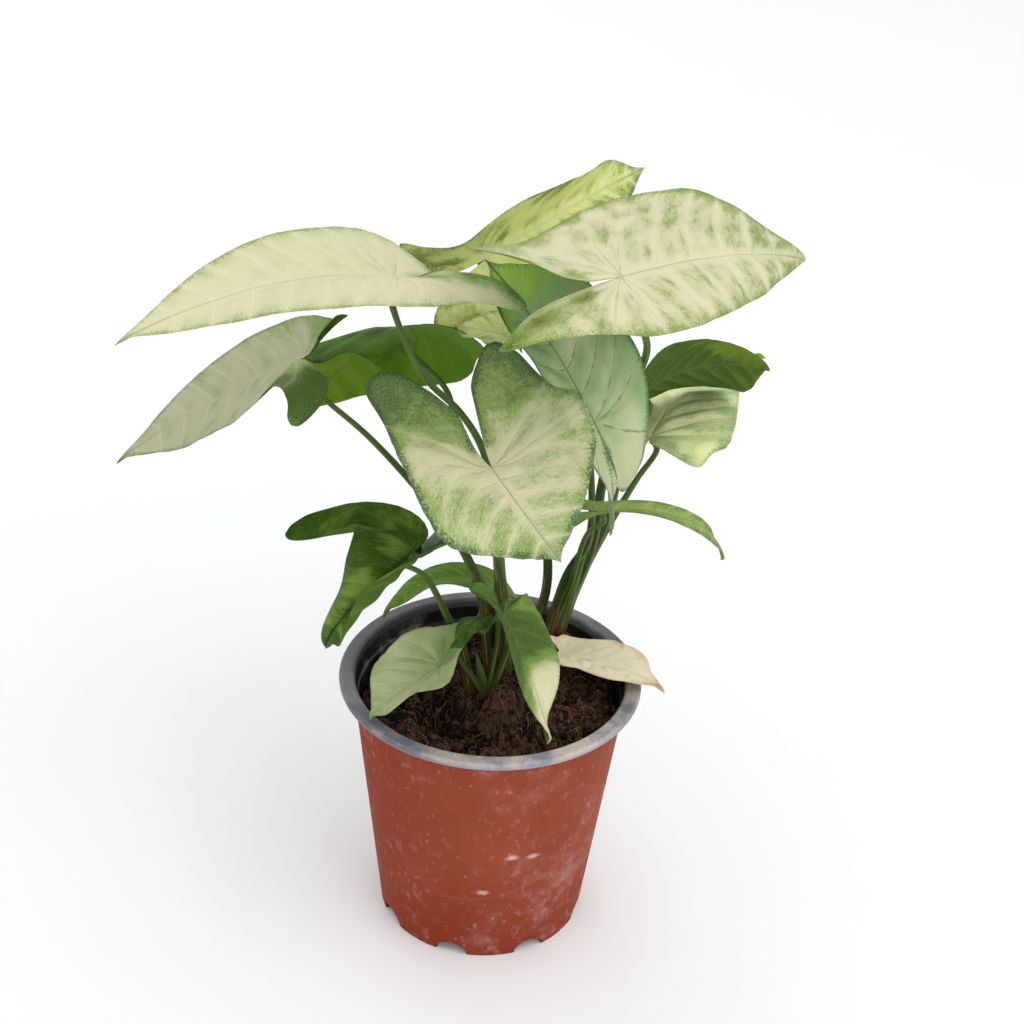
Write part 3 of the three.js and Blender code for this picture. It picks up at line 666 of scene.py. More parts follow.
def placed(leaf, side, x, y, z):
    """Points of the flat blade, on the left (side 1) or the right (side -1), bent in turn by
    the lobe's lift, the cup, the fold, the twist, the sweep, the droop and the back bend, and
    then turned and set on the stalk."""
    k = 0 if side > 0 else 1
    up, out, crease = (0, 0, 1), (0, side, 0), math.radians(LOBE_CREASE)
    across_lobe = (-math.sin(crease), side * math.cos(crease), 0)
    points = bend(stack(x, y, z), across_lobe, up, leaf.lift[k], 0.8 * leaf.lobe[k])
    points = bend(points, out, up, leaf.cup[k], leaf.width[k])
    points = bend(points, out, up, leaf.fold[k], 0.2 * leaf.width[k])
    x, y, z = np.moveaxis(points, -1, 0)
    angle = math.radians(leaf.twist) * x / leaf.length
    points = stack(x, y * np.cos(angle) - z * np.sin(angle), y * np.sin(angle) + z * np.cos(angle))
    points = bend(points, (1, 0, 0), (0, 1, 0), leaf.sweep, leaf.length)
    points = bend(points, (1, 0, 0), up, -leaf.droop, leaf.length)
    points = bend(points, (-1, 0, 0), up, -leaf.back, sum(leaf.lobe) / 2)
    return turned(points, leaf.turn) + leaf.base


def vein_field(leaf, k, x, y):
    """Where a point of the flat blade lies between the side veins. A vein that leaves the
    midrib at x0 runs along x = x0 + 0.5 y + 0.4 y^2 / half width, and behind the stalk the
    veins fan out from the base. Returns the phase, which is whole on a vein, the distance
    along the vein and the distance between two veins."""
    spacing = max(0.1 * (leaf.length + sum(leaf.lobe) / 2), 6.5)
    start = x - 0.5 * y - 0.4 * y * y / leaf.width[k]
    phase = np.where(start > 0, start / spacing, -np.arctan2(-start, y) / FAN)
    along = np.hypot(x - np.maximum(start, 0), y)
    pitch = np.where(start > 0, 0.85 * spacing, FAN * np.hypot(start, y))
    return phase, along, pitch


def patches(spots, leaf, x, y):
    """Sum of the spots' amounts, each times a bell round its place."""
    total = np.zeros_like(x)
    for along, across, radius, amount in spots:
        wide = leaf.width[0 if across > 0 else 1]
        reach = leaf.length if along > 0 else sum(leaf.lobe) / 2
        total += amount * bell(np.hypot(x - along * reach, y - across * wide), radius)
    return total


def half_blade(leaf, name, wavy, side, sizes, seed):
    """One half of a blade as two faces and the wall at the edge. A point is a part rho of the
    way from the base to the point t of the slightly ragged outline. Its height is the wave
    times rho^3 sin(2 pi n t), plus the puffs, 0.5 - 0.5 cos(2 pi phase), between the side
    veins and a loose unevenness. The top is grooved along the veins, and the underside lies
    the thickness lower, with the veins standing out."""
    k = 0 if side > 0 else 1
    rows, columns = FINE_GRID if leaf.length + leaf.lobe[k] > LARGE else COARSE_GRID
    rho = np.linspace(0, 1, rows)[:, None] ** 0.9
    t = np.linspace(0, 1, columns)
    edge = blade_outline(leaf, k, t)
    ragged = 0.35 * noise(t[:, None], 0.02, seed)
    if leaf.tuft == "dry":
        ragged = ragged + 1.1 * noise(t[:, None], 0.05, seed)
    ragged = ragged * step(0, 0.1, t) * step(1, 0.9, t)
    stretch = 1 + rho**8 * ragged / np.linalg.norm(edge, axis=1)
    x, y = rho * edge[:, 0] * stretch, rho * edge[:, 1] * stretch
    outline = blade_outline(leaf, k, np.linspace(0, 1, 300))
    inside = np.linalg.norm(stack(x, y)[:, :, None] - outline, axis=-1).min(axis=-1)
    phase, along, pitch = vein_field(leaf, k, x, y)
    y_side = side * y
    flat = stack(x, y_side)

    open_face = step(0.5, 6, y) * step(0, 7, inside)
    puff = (0.5 - 0.5 * np.cos(TURN * phase)) * np.minimum(pitch / 9, 1) * open_face
    sheet = wavy * sizes.wave * rho**3 * np.sin(TURN * (WAVES + 0.5 * side) * t)
    sheet = sheet + sizes.puff * puff
    sheet += 0.9 * noise(flat, 15, seed) * step(0, 12, np.hypot(x, y)) * (0.4 + 0.6 * rho**2)
    thin = 1 - 0.75 * rho
    off_vein = np.abs(phase - np.round(phase)) * pitch
    groove = 0.35 * thin * bell(y, 0.9)
    side_groove = 0.12 * thin * open_face * bell(off_vein, 1.1)
    rib = sizes.rib * (0.25 + 0.75 * thin) * np.exp(-((y / 0.8) ** 4)) * (x > -1)
    rib = rib * (1 - 0.8 * rho**3)
    side_rib = 0.14 * thin * open_face * bell(off_vein, 0.9)
    depth = sizes.thickness * (1 - 0.45 * rho)
    top = placed(leaf, side, x, y_side, sheet - groove - side_groove)
    under = placed(leaf, side, x, y_side, sheet - depth - rib - side_rib)

    each = rows * columns
    values = {
        "flat": flat, "veins": stack(phase, along), "pitch": pitch, "inside": inside,
        "green": patches(PATCHES.get(name, ()), leaf, x, y_side),
        # the underside's glow patches: painted light shining through the blade
        "blotch": patches(UNDER_GLOWS.get(name, ()), leaf, x, y_side),
    }
    for key, value in values.items():
        values[key] = np.concatenate([value, value]).reshape(2 * each, *value.shape[2:])
    numbers = np.arange(each).reshape(rows, columns)
    border = np.concatenate([numbers[-1, :-1], numbers[::-1, -1]])[::side]
    here, there = border[:-1], border[1:]
    low_here, low_there = here + each, there + each
    wall = np.concatenate([stack(here, low_here, low_there), stack(here, low_there, there)])
    face = grid_faces(rows, columns, flip=side < 0)
    faces = np.concatenate([face, wall, face[:, ::-1] + each])
    slots = np.repeat([0, 1], [len(face) + len(wall), len(face)])
    return np.concatenate([top, under]).reshape(-1, 3), faces, values, slots


def vein_patterns(paint, seed, reach):
    """How near a point is to the veins, from 1 on them to 0: the vein itself, the soft halo
    round it, the fine dark line along it as far as it reaches, and the net of veinlets. Side
    veins wander a little and fade along their way. With them come the flat blade's place, moved
    by the seed, a fine grain, and streaks that follow the side veins."""
    place = paint.uv("flat")
    flat = place.stretch((1, 1, 1), (seed * 37.0, seed * 11.0, 0))
    phase, along, _ = paint.uv("veins").parts()
    across = abs(place.parts()[1])
    far = place.far()
    off_vein = abs(phase - phase.math("ROUND")) * paint.value("pitch")
    off_vein = abs(off_vein + flat.noise(0.25, 2).centred(1.6))
    fade = along.step(2, 40, 1, 0.3)

    def mask(core, edge, middle_core, middle_edge, fade, middle_fade=1.0):
        side = off_vein.step(core, edge, 1, 0) * fade
        return side.math("MAXIMUM", across.step(middle_core, middle_edge, 1, 0) * middle_fade)

    def streaks(across_scale, along_scale, rough=0.5):
        place = paint.vector(phase * across_scale, along * along_scale, seed)
        return place.noise(1.0, 2, rough)

    side_line = far.step(8 * reach, 32 * reach, 0.8, 0)
    return SimpleNamespace(
        flat=flat, streaks=streaks, grain=flat.noise(1.1, 3, 0.7),
        vein=mask(0.25, 0.9, 0.35, 1.2, fade), halo=mask(0.5, 3.2, 0.8, 4.5, fade),
        line=mask(0.08, 0.35, 0.12, 0.4, side_line, far.step(15 * reach, 75 * reach, 1, 0.3)),
        net=flat.cells(0.75, "DISTANCE_TO_EDGE").step(0.0, 0.12, 1, 0))


def face_paint(name, look, settings, seed):
    """Paint of a blade's upper face. The mottling lies over the light ground where a density
    is high: an amount, clouds, streaks along the side veins, the face's own patches and the
    edge. Fine strokes along the veins and grain break up its border, and crisp says how sharp
    it is. Specks follow the edge, and the veins are pale, with a fine dark line near the
    stalk."""
    paint = Paint(f"leaf_{name}_face", look.gloss)
    pattern = vein_patterns(paint, seed, look.reach)
    flat, grain, halo = pattern.flat, pattern.grain, pattern.halo
    inside = paint.value("inside")
    ground, mottle, deep, specks = (
        getattr(settings, shade) for shade in (look.ground, look.mottle, look.deep, look.specks))
    fine = pattern.streaks(13.0, 0.33, 0.6).centred(1.5) + grain.centred(1.4)

    density = paint.value("green") + look.amount
    density += flat.noise(0.06, 2).centred(2.2 * look.clouds)
    density += pattern.streaks(2.4, 0.09).centred(2.8 * look.streaks)
    density += inside.step(0.5, 7, 0.7 * look.margin, 0)
    density -= halo * (0.4 * look.halo)
    broken = density + fine * look.brush
    soft = 0.5 * (1 - look.crisp)
    skin = density.step(-0.2, 1.0, 0, 0.55).mix(ground, mottle)
    skin = broken.step(0.6 - soft, 0.64 + soft, 0, 0.75).mix(skin, mottle)
    skin = broken.step(1.25 - soft, 1.3 + soft, 0, 0.75).mix(skin, deep)
    skin = (pattern.net * (0.16 * look.brush)).mix(skin, ground)

    fleck = flat.noise(2.6, 2, 0.6)
    rim = inside.step(0.2, 1.0 + 4.5 * look.speckle, 1, 0)
    rim *= flat.noise(0.05, 1).step(0.35, 0.6, 0.55, 1)
    rim += grain.centred(2.4)
    rim += fleck.centred(2.0)
    skin = rim.step(0.55, 0.85, 0, 0.95 * look.speckle**0.5).mix(skin, specks)
    skin = (halo * (0.35 * look.halo)).mix(skin, ground)
    skin = (pattern.vein * (0.7 * look.halo)).mix(skin, settings.vein)
    skin = (pattern.line * (0.75 * look.line)).mix(skin, shaded(mottle, 0.4))
    relief = (
        (pattern.vein, -0.14), (pattern.line, -0.06), (pattern.net, -0.05), (fine, 0.04), (fleck, 0.02))
    return paint.finish(skin, grain.step(0.3, 0.7, 0.4, 0.55), *relief)


def under_paint(name, look, settings, seed):
    """Paint of a blade's underside: matter and plainer, with broad blotches of the second
    colour, which on two blades also lay on a painted glow of light shining through the blade,
    and veins that stand out in a slightly lighter tone."""
    paint = Paint(f"leaf_{name}_underside", 0.04)
    pattern = vein_patterns(paint, seed, 1)
    grain = pattern.grain
    # The blotches take in the blade's glow patches: painted light shining through the underside.
    patch = pattern.flat.noise(0.05, 2).centred(2.0) + paint.value("blotch")
    patch += pattern.streaks(1.2, 0.05).centred(1.4)
    patch += grain.centred(0.6)
    below = getattr(settings, look.below)
    pale = tuple(0.88 * own + 0.12 * light for own, light in zip(below, settings.vein))
    skin = patch.step(0.0, 0.6).mix(below, getattr(settings, look.blotch))
    skin = (pattern.vein * 0.35).mix(skin, pale)
    skin = (pattern.halo * 0.15).mix(skin, pale)
    skin = (pattern.net * 0.2).mix(skin, shaded(below, 0.75))
    relief = (pattern.vein, 0.1), (pattern.net, -0.03), (grain, 0.04)
    return paint.finish(skin, grain.step(0.3, 0.7, 0.5, 0.65), *relief)


def dry_paint(settings):
    """Paint of the dried leaf: papery beige, browned towards the edge and in spots, wrinkled
    along the veins."""
    paint = Paint("dried_leaf", 0.3)
    flat = paint.uv("flat")
    phase, along, _ = paint.uv("veins").parts()
    cloud = flat.noise(0.12, 4, 0.6)
    grain = flat.noise(1.4, 3, 0.6)
    brown = paint.value("inside").step(0, 2.5, 0.35, 0) + cloud.step(0.5, 0.75, 0, 0.6)
    brown += grain.step(0.62, 0.75, 0, 0.3)
    brown += flat.parts()[0].step(36, 52, 0, 0.5) * cloud.step(0.35, 0.6, 0.3, 1)
    skin = brown.mix(settings.dry, settings.dry_edge)
    wrinkle = paint.vector(phase * 3.0, along * 0.1).noise(1.0, 3, 0.6)
    return paint.finish(skin, 0.85, (wrinkle, 0.15), (grain, 0.05))


def build_blade(name, leaf, settings, seed):
    """A whole blade: its left and right half share the midrib."""
    look = SimpleNamespace(**{**PLAIN, **LOOKS.get(name, {})})
    sizes = in_mm(settings)
    halves = [half_blade(leaf, name, look.wavy, side, sizes, seed) for side in (1, -1)]
    if leaf.tuft == "dry":
        slots, finish, paints = 0, "dry_leaf", [dry_paint(settings)]
    else:
        slots, finish = np.concatenate([half[3] for half in halves]), "leaf"
        paints = [paint(name, look, settings, seed) for paint in (face_paint, under_paint)]
    add_piece(f"blade_{name}", join(halves), paints, finish, f"leaf_{name}", slots)


# ---- pot ---------------------------------------------------------------------------------
FLOOR_LIFT, FLOOR_TOP = 4, 6.2  # underside and top of the floor round its pad
PAD_RADIUS, PAD_TOP = 14, 2.4  # the flat pad in the middle, which stands on the ground
LEDGE_DROP = 9  # from the top of the rim to the stacking ledge
NOTCH_START = 255  # degrees
ARCH_END = 10  # up to this height the wall follows the arches
ARCH_POINTS, LAND_POINTS = 21, 12  # round the pot, over an arch and between two
DRAIN_CIRCLE, DRAIN_RADIUS = 26, 3.5
DRAIN_MIDDLE, DRAIN_DEPTH, DRAIN_SIDES = 5, 8, 24  # of the cylinders that cut the holes
RUBBED = ((12, 56), (20, 55), (1, 37))  # x and z of pale rubbed spots on the front
GAP = 0.4  # between the soil and the pot
BEVEL = 1.4  # of the soil and the inside of the pot above the floor
CORNER, SPACING = 0.45, 2.5  # how far the profile's corners are cut, and its steps
LONGEST_CUT = 0.45  # of a short stretch, at either end
OUTER, RIM, INNER = 0, 1, 2  # the stretches of the profile, each with its own paint


def outside_radius(z, pot):
    """Outer radius of the wall: a straight taper from the foot to the rim."""
    foot = pot.base_radius
    return foot + (pot.mouth_radius + 0.8 - foot) * z / (pot.height - pot.rim_depth)


def inside_radius(z, pot):
    """Inner radius below the ledge: the wall thickens a little upwards."""
    return outside_radius(z, pot) - pot.wall - 0.6 * z / pot.height


def rounded(corners):
    """A line of (radius, height, paint) corners with each corner cut to a quadratic curve and
    the stretches between cut to the spacing. Each point keeps the paint of its stretch."""
    corners = np.array(corners, float)
    line = [corners[:1]]
    for here, there in zip(corners[:-1], corners[1:]):
        long = np.linalg.norm(there[:2] - here[:2])
        cut = min(CORNER / long, LONGEST_CUT)
        count = max(int(long / SPACING), 1) + 1
        stretch = here + (there - here) * np.linspace(cut, 1 - cut, count)[:, None]
        stretch[:, 2] = here[2]
        line.append(stretch)
    smooth = [line[0], line[1]]
    w = np.array([0.25, 0.5, 0.75])[:, None]
    for corner, before, after in zip(corners[1:-1], line[1:], line[2:]):
        curve = (1 - w) ** 2 * before[-1] + 2 * w * (1 - w) * corner + w**2 * after[0]
        curve[:, 2] = before[-1, 2]
        smooth += [curve, after]
    return np.concatenate([*smooth, corners[-1:]])


def pot_profile(pot):
    """The pot's profile, from the middle of its underside over the rim to the middle of its
    floor."""
    high, rim, mouth, foot = pot.height, pot.rim_radius, pot.mouth_radius, pot.base_radius
    under_rim, ledge, bevel = high - pot.rim_depth, high - LEDGE_DROP, FLOOR_TOP + BEVEL
    return rounded([
        (0, 0, OUTER), (PAD_RADIUS, 0, OUTER), (PAD_RADIUS + 2, FLOOR_LIFT, OUTER),
        (foot - 2.6, FLOOR_LIFT, OUTER), (foot - 1.6, 0, OUTER), (foot, 0, OUTER),
        (outside_radius(under_rim, pot), under_rim, RIM), (rim - 0.5, under_rim - 0.1, RIM),
        (rim, under_rim + 0.6, RIM), (rim, high - 1.0, RIM), (rim - 0.8, high, RIM),
        (mouth + 1.0, high, RIM), (mouth, high - 0.8, RIM), (mouth - 0.3, high - 3, INNER),
        (mouth - 0.9, ledge, INNER), (inside_radius(ledge, pot), ledge - 0.8, INNER),
        (inside_radius(bevel, pot), bevel, INNER),
        (inside_radius(FLOOR_TOP, pot) - 1.6, FLOOR_TOP, INNER),
        (PAD_RADIUS + 2.5, FLOOR_TOP, INNER), (PAD_RADIUS - 0.5, PAD_TOP, INNER), (0, PAD_TOP, INNER),
    ])


def pot_surface(pot):
    """The pot's profile turned about Z, and the paint of each face. Near the foot each height z
    up to z1 is lifted to z0 + z (z1 - z0) / z1, where z0 follows the arches, which are half
    ellipses, and the outside moves out with the wall's taper."""
    profile, foot = pot_profile(pot), pot.base_radius
    radius, height = profile[:, :1], profile[:, 1:2]
    notch = np.linspace(-np.pi / 2, np.pi / 2, ARCH_POINTS)
    half = math.asin(pot.notch_width / 2 / foot)
    land = np.linspace(half, TURN / pot.notches - half, LAND_POINTS + 2)[1:-1]
    centre = math.radians(NOTCH_START) + TURN / pot.notches * np.arange(pot.notches)[:, None]
    angle = (centre + np.concatenate([half * np.sin(notch), land])).ravel()
    arch = np.concatenate([np.cos(notch), np.zeros(len(land))]) * pot.notch_height
    lift = np.tile(arch, pot.notches)

    wall = radius > foot - 0.8
    reach = np.where(wall, ARCH_END, FLOOR_LIFT)
    near_foot = (radius > foot - 2.7) & (height < reach) & (profile[:, 2:] == OUTER)
    lifted = np.where(near_foot, lift + height * (reach - lift) / reach, height)
    slope = (outside_radius(1, pot) - outside_radius(0, pot)) * (lifted - height)
    around = radius + np.where(near_foot & wall, slope, 0)
    points = stack(around * np.cos(angle), around * np.sin(angle), lifted)
    faces = grid_faces(len(profile), len(angle), wrap=True, flip=True)
    slots = np.repeat(profile[:-1, 2], 2 * len(angle)).astype(int)
    return (points.reshape(-1, 3), faces, {}), slots


def cut_drain_holes(pot_piece, pot):
    """Takes a ring of round holes out of the floor."""
    tools = bmesh.new()
    for turn in np.arange(pot.drain_holes) / max(pot.drain_holes, 1) * TURN:
        place = Vector((math.cos(turn), math.sin(turn), 0)) * DRAIN_CIRCLE * MM
        place.z = DRAIN_MIDDLE * MM
        bmesh.ops.create_cone(
            tools, cap_ends=True, segments=DRAIN_SIDES, radius1=DRAIN_RADIUS * MM,
            radius2=DRAIN_RADIUS * MM, depth=DRAIN_DEPTH * MM, matrix=Matrix.Translation(place))
    mesh = bpy.data.meshes.new("drain_cutter")
    tools.to_mesh(mesh)
    tools.free()
    cutter = link("drain_cutter", mesh)
    cut = pot_piece.modifiers.new("Drain holes", "BOOLEAN")
    cut.operation, cut.solver, cut.object = "DIFFERENCE", "EXACT", cutter
    result = pot_piece.evaluated_get(bpy.context.evaluated_depsgraph_get())
    whole = bpy.data.meshes.new_from_object(result)
    pot_piece.modifiers.clear()
    pot_piece.data = whole
    bpy.data.objects.remove(cutter)


def outside_paint(pot):
    """Paint of the terracotta plastic: uneven tone, painted shade that darkens it towards the foot
    and on the left, cloudy lime dust that lies thicker on the right, where it is partly a painted
    sheen, pale flecks and smudges, a long faint scratch and a few rubbed spots on the front.
    Places and sizes in it are metres."""
    paint = Paint("terracotta_plastic", 0.06)
    place = paint.place()
    x, y, z = place.parts()
    front = y.step(-0.03, -0.02, 1, 0)
    cloud = place.stretch((1, 1, 0.7)).noise(20, 4, 0.6)
    patch = place.stretch((1, 1, 1.3), (3, 1, 0)).noise(55, 5, 0.65)
    grain = place.noise(900, 3, 0.7)
    red, green, blue = pot.outside
    skin = cloud.step(0.3, 0.7).mix(shaded(pot.outside, 0.86), pot.outside)
    # Painted shade: darker and redder towards the foot and on the left side.
    low = z.step(0.0, 0.06, 0.8, 0).math("MAXIMUM", x.step(-0.05, -0.01, 0.7, 0))
    skin = low.mix(skin, (0.76 * red, 0.45 * green, 0.34 * blue))

    # The pale dust lies thicker on the right: partly real dust, partly a painted sheen on the lit right
    # side.
    dust = cloud.step(0.42, 0.68) * patch.step(0.45, 0.72, 0.1, 1.0)
    dust *= x.step(-0.03, 0.03, 0.25, 1) * 0.34
    flecks = place.stretch((1, 1, 0.8)).cells(240).step(0.06, 0.22, 1, 0)
    dust += flecks * patch.step(0.48, 0.58) * 0.22
    smudge = place.stretch((1, 1, 0.7), (0, 5, 0)).noise(260, 3, 0.6)
    dust += smudge.step(0.54, 0.7) * cloud.step(0.38, 0.6, 0.15, 1) * 0.2
    bow = (x + 0.0155).math("POWER", 2.0) * 6.0
    off = abs(z - (bow + 0.032)) + patch * 0.0012
    scratch = off.step(0.0007, 0.0014, 1, 0) * front
    for gate in (x.step(-0.02, -0.01), x.step(0.024, 0.034, 1, 0), patch.step(0.35, 0.6, 0.2, 1)):
        scratch *= gate
    dust += scratch * 0.1
    for spot_x, spot_z in RUBBED:
        away = paint.vector((x - spot_x * MM) * 0.55, z - spot_z * MM).far()
        away += grain.centred(0.0012)
        dust += away.step(0.0, 0.002, 0.9, 0) * front
    skin = dust.mix(skin, pot.dust)
    skin = grain.step(0.35, 0.65, 0, 0.12).mix(skin, shaded(pot.outside, 0.7))
    rough = cloud.step(0.3, 0.8, 0.5, 0.75)
    return paint.finish(skin, rough, (grain, 0.03), (patch, 0.06), (scratch, -0.04))


def rim_paint(pot):
    """Paint of the grey rim: scuffed plastic with dry sandy dirt on its top, most at the front
    and on the right, and painted shade that darkens it on the left and at the back."""
    paint = Paint("grey_rim", 0.45)
    place = paint.place()
    x, y, z = place.parts()
    cloud = place.noise(60, 4, 0.65)
    grain = place.noise(700, 3, 0.7)
    top = z.step((pot.height - 2.2) * MM, (pot.height - 0.6) * MM, 0.12, 1)
    front = y.step(-0.05, 0.02, 1, 0.15)
    right = x.step(-0.045, 0.01, 0.3, 1)
    dirt = cloud.step(0.4, 0.6) * (top * front)
    dirt *= grain.step(0.25, 0.6, 0.5, 1)
    dirt *= right
    skin = cloud.step(0.35, 0.65).mix(shaded(pot.rim, 0.75), pot.rim)
    # Painted shade: the rim is darkened on the left and at the back.
    skin = (right * front).mix(shaded(pot.rim, 0.24), skin)
    skin = dirt.mix(skin, pot.dirt)
    return paint.finish(skin, dirt.step(0, 0.6, 0.4, 0.85), (grain, 0.05), (cloud, 0.12))


def inside_paint(pot):
    """Paint of the dark inside: glossy black with dust, and worn pale patches by the ledge."""
    paint = Paint("black_inside", 0.5)
    place = paint.place()
    cloud = place.noise(45, 4, 0.65)
    grain = place.noise(500, 3, 0.7)
    edge = abs(place.parts()[2] - (pot.height - LEDGE_DROP) * MM)
    worn = edge.step(0.0005, 0.0025, 1, 0) * cloud.step(0.5, 0.65)
    dust = cloud.step(0.45, 0.75) * grain.step(0.4, 0.7, 0.1, 0.35)
    skin = dust.mix(pot.inside, pot.dirt)
    skin = (worn * 0.5).mix(skin, pot.dust)
    return paint.finish(skin, cloud.step(0.3, 0.7, 0.28, 0.5), (grain, 0.03), (cloud, 0.2))


# ---- soil --------------------------------------------------------------------------------
# Mounds of the soil and clods on it: x, y, height and width.
MOUNDS = ((2, 2, 8, 15), (24, 34, 7, 12), (-34, 20, -4, 16), (0, -36, 2, 20))
CLODS = (
    (5, -14, 11, 4), (2, -20, 4, 5), (-17, -14, -9, 7), (-9, -28, -5, 5), (-25, -34, 2, 5),
    (24, -22, 2, 6), (40, -4, 2, 6), (14, -24, -3, 4),
)
BALL_ROUND, BALL_RINGS = 320, 100  # points round the top of the soil, and rings of them
FIBRE_SEED, CRUMB_SEED = 7, 11
FIBRE_EDGE, SOIL_EDGE = 48, 50  # radii that the fibres start within, and that all keep within
FIBRE_STEPS, FIBRE_SIDES = 8, 3


def heaped(height, x, y, heaps):
    """The height with heaps h exp(-d^2 / 2 w^2) on it."""
    for heap_x, heap_y, high, wide in heaps:
        height = height + high * np.exp(-((x - heap_x) ** 2 + (y - heap_y) ** 2) / (2 * wide**2))
    return height


def soil_height(x, y, level):
    """Smooth height of the soil: its level, two sine ripples and the mounds."""
    height = level + 0.8 * np.sin(0.35 * x + 1) * np.cos(0.31 * y)
    return heaped(height + 0.5 * np.sin(0.9 * x) * np.sin(0.8 * y + 2), x, y, MOUNDS)


def lumps(x, y):
    """The soil's lumps above its smooth height: noise of four sizes, the middle two folded
    upwards at 0 into round crumbs with sharp gaps between them, and a few larger clods."""
    flat = stack(x, y)
    high = 1.5 * noise(flat, 10.0) + 5.0 * np.abs(noise(flat, 6.0, 3))
    high = heaped(high + 3.2 * np.abs(noise(flat, 2.6, 5)), x, y, CLODS)
    return high - 3.0 + 0.7 * noise(flat, 1.2, 8)


def rough_soil(x, y, level):
    """The soil's height with its lumps."""
    return soil_height(x, y, level) + lumps(x, y)


def root_ball(level, pot):
    """The root ball: a rough top over polar coordinates, a plain side and a flat bottom."""
    angle = np.linspace(0, TURN, BALL_ROUND, endpoint=False)
    top = np.linspace(0, inside_radius(level, pot) - 0.5, BALL_RINGS)[:, None]
    foot = np.array([inside_radius(FLOOR_TOP + BEVEL, pot) - GAP - 1.8, 0])[:, None]
    x, y = top * np.cos(angle), top * np.sin(angle)
    side = stack(foot * np.cos(angle), foot * np.sin(angle), FLOOR_TOP + GAP)
    points = np.concatenate([stack(x, y, rough_soil(x, y, level)), side])
    # The lumps' height goes to the paint, which darkens the hollows as painted shade.
    high = np.concatenate([lumps(x, y), 0 * side[..., 0]]).ravel()
    return points.reshape(-1, 3), grid_faces(len(points), len(angle), wrap=True), {"high": high}


def scattered(count, edge, chance):
    """Random places on the soil, closer together towards the mound in the middle."""
    far = edge * chance.random(count) ** 0.6
    angle = chance.random(count) * TURN
    return far * np.cos(angle), far * np.sin(angle)


def coir_fibres(count, level):
    """Curled fibres lying on the soil. Along s from -1 to 1 a fibre runs straight, bows
    sideways by b (1 - s^2), lifts by h (1 - s^2) and dips into the soil at its ends. It is a
    three-sided tube that thins to both ends."""
    chance = np.random.default_rng(FIBRE_SEED)
    x, y = (each[:, None] for each in scattered(count, FIBRE_EDGE, chance))
    way = chance.random((count, 1)) * TURN
    long = 1.2 + 5.5 * chance.random((count, 1)) ** 2
    bow = (chance.random((count, 1)) - 0.5) * long * 1.8
    lift = 0.3 + 2.6 * chance.random((count, 1)) ** 2
    thick = 0.08 + 0.13 * chance.random((count, 1)) ** 2
    s = np.linspace(-1, 1, FIBRE_STEPS)
    hump = 1 - s**2
    forward, aside = s * long, hump * bow + 0.15 * long * np.sin(3 * s)
    px = x + forward * np.cos(way) - aside * np.sin(way)
    py = y + forward * np.sin(way) + aside * np.cos(way)
    squeeze = np.minimum(1, SOIL_EDGE / np.hypot(px, py))
    px, py = px * squeeze, py * squeeze
    path = stack(px, py, rough_soil(px, py, level) + lift * hump - 0.5 * s**2)
    tangent = unit(np.gradient(path, axis=1))
    across = unit(np.cross(tangent, (0, 0, 1.0)) + (1e-6, 0, 0))
    over = np.cross(across, tangent)
    angle = np.arange(FIBRE_SIDES)[:, None] / FIBRE_SIDES * TURN
    ring = across[:, :, None] * np.cos(angle) + over[:, :, None] * np.sin(angle)
    points = path[:, :, None] + (thick * (1 - 0.6 * s**2))[..., None, None] * ring
    caps = path[:, [0, -1], None] + 0 * ring[:, :2]
    points = np.concatenate([caps[:, :1], points, caps[:, 1:]], axis=1)
    rows = FIBRE_STEPS + 2
    each = rows * FIBRE_SIDES
    faces = copies(grid_faces(rows, FIBRE_SIDES, wrap=True, flip=True), each, count)
    return points.reshape(-1, 3), faces, {"tint": np.repeat(chance.random(count), each)}


def peat_crumbs(count, level):
    """Loose crumbs: twenty-faced balls with their corners moved in and out at random."""
    chance = np.random.default_rng(CRUMB_SEED)
    ball = bmesh.new()
    bmesh.ops.create_icosphere(ball, subdivisions=1, radius=1)
    corners = np.array([vertex.co for vertex in ball.verts])
    one = np.array([[vertex.index for vertex in face.verts] for face in ball.faces])
    ball.free()
    x, y = scattered(count, SOIL_EDGE, chance)
    size = 0.35 + 1.7 * chance.random(count) ** 4
    stretch = size[:, None] * (0.7 + 0.6 * chance.random((count, 3)))
    jitter = 0.75 + 0.5 * chance.random((count, len(corners), 1))
    centre = stack(x, y, rough_soil(x, y, level) + 0.3 * size)
    points = centre[:, None] + corners * stretch[:, None] * jitter
    high = np.repeat(3 * chance.random(count) - 1, len(corners))
    return points.reshape(-1, 3), copies(one, len(corners), count), {"high": high}


def soil_paint(soil):
    """Paint of the moist peat: darkened in the hollows as painted shade, browner on the crumbs, rough and
    matt.
    """
    paint = Paint("peat", 0.25)
    place = paint.place()
    cloud = place.noise(130, 4, 0.7)
    grain = place.noise(650, 4, 0.75)
    fibre = place.stretch((1, 6, 2)).noise(160, 3, 0.6, 1.5)
    # Painted shade: the lumps' height darkens the peat in the hollows between them.
    light = cloud * 0.5 + grain * 0.5 + paint.value("high").step(-3.0, 2.5, -0.22, 0.1)
    skin = light.step(0.38, 0.66).mix(soil.dark, soil.brown)
    skin = fibre.step(0.6, 0.7, 0, 0.5).mix(skin, soil.fibre)
    return paint.finish(skin, 0.95, (cloud, 0.8), (grain, 0.5), (fibre, 0.3))


def fibre_paint(soil):
    """Paint of the coir fibres: from dark to reddish brown, one tone to a fibre."""
    paint = Paint("coir", 0.3)
    grain = paint.place().noise(900, 2, 0.6)
    skin = paint.value("tint").step(0.3, 1.0).mix(soil.dark, soil.fibre)
    skin = grain.step(0.4, 0.7, 0, 0.3).mix(skin, soil.brown)
    return paint.finish(skin, 0.8, (grain, 0.04))


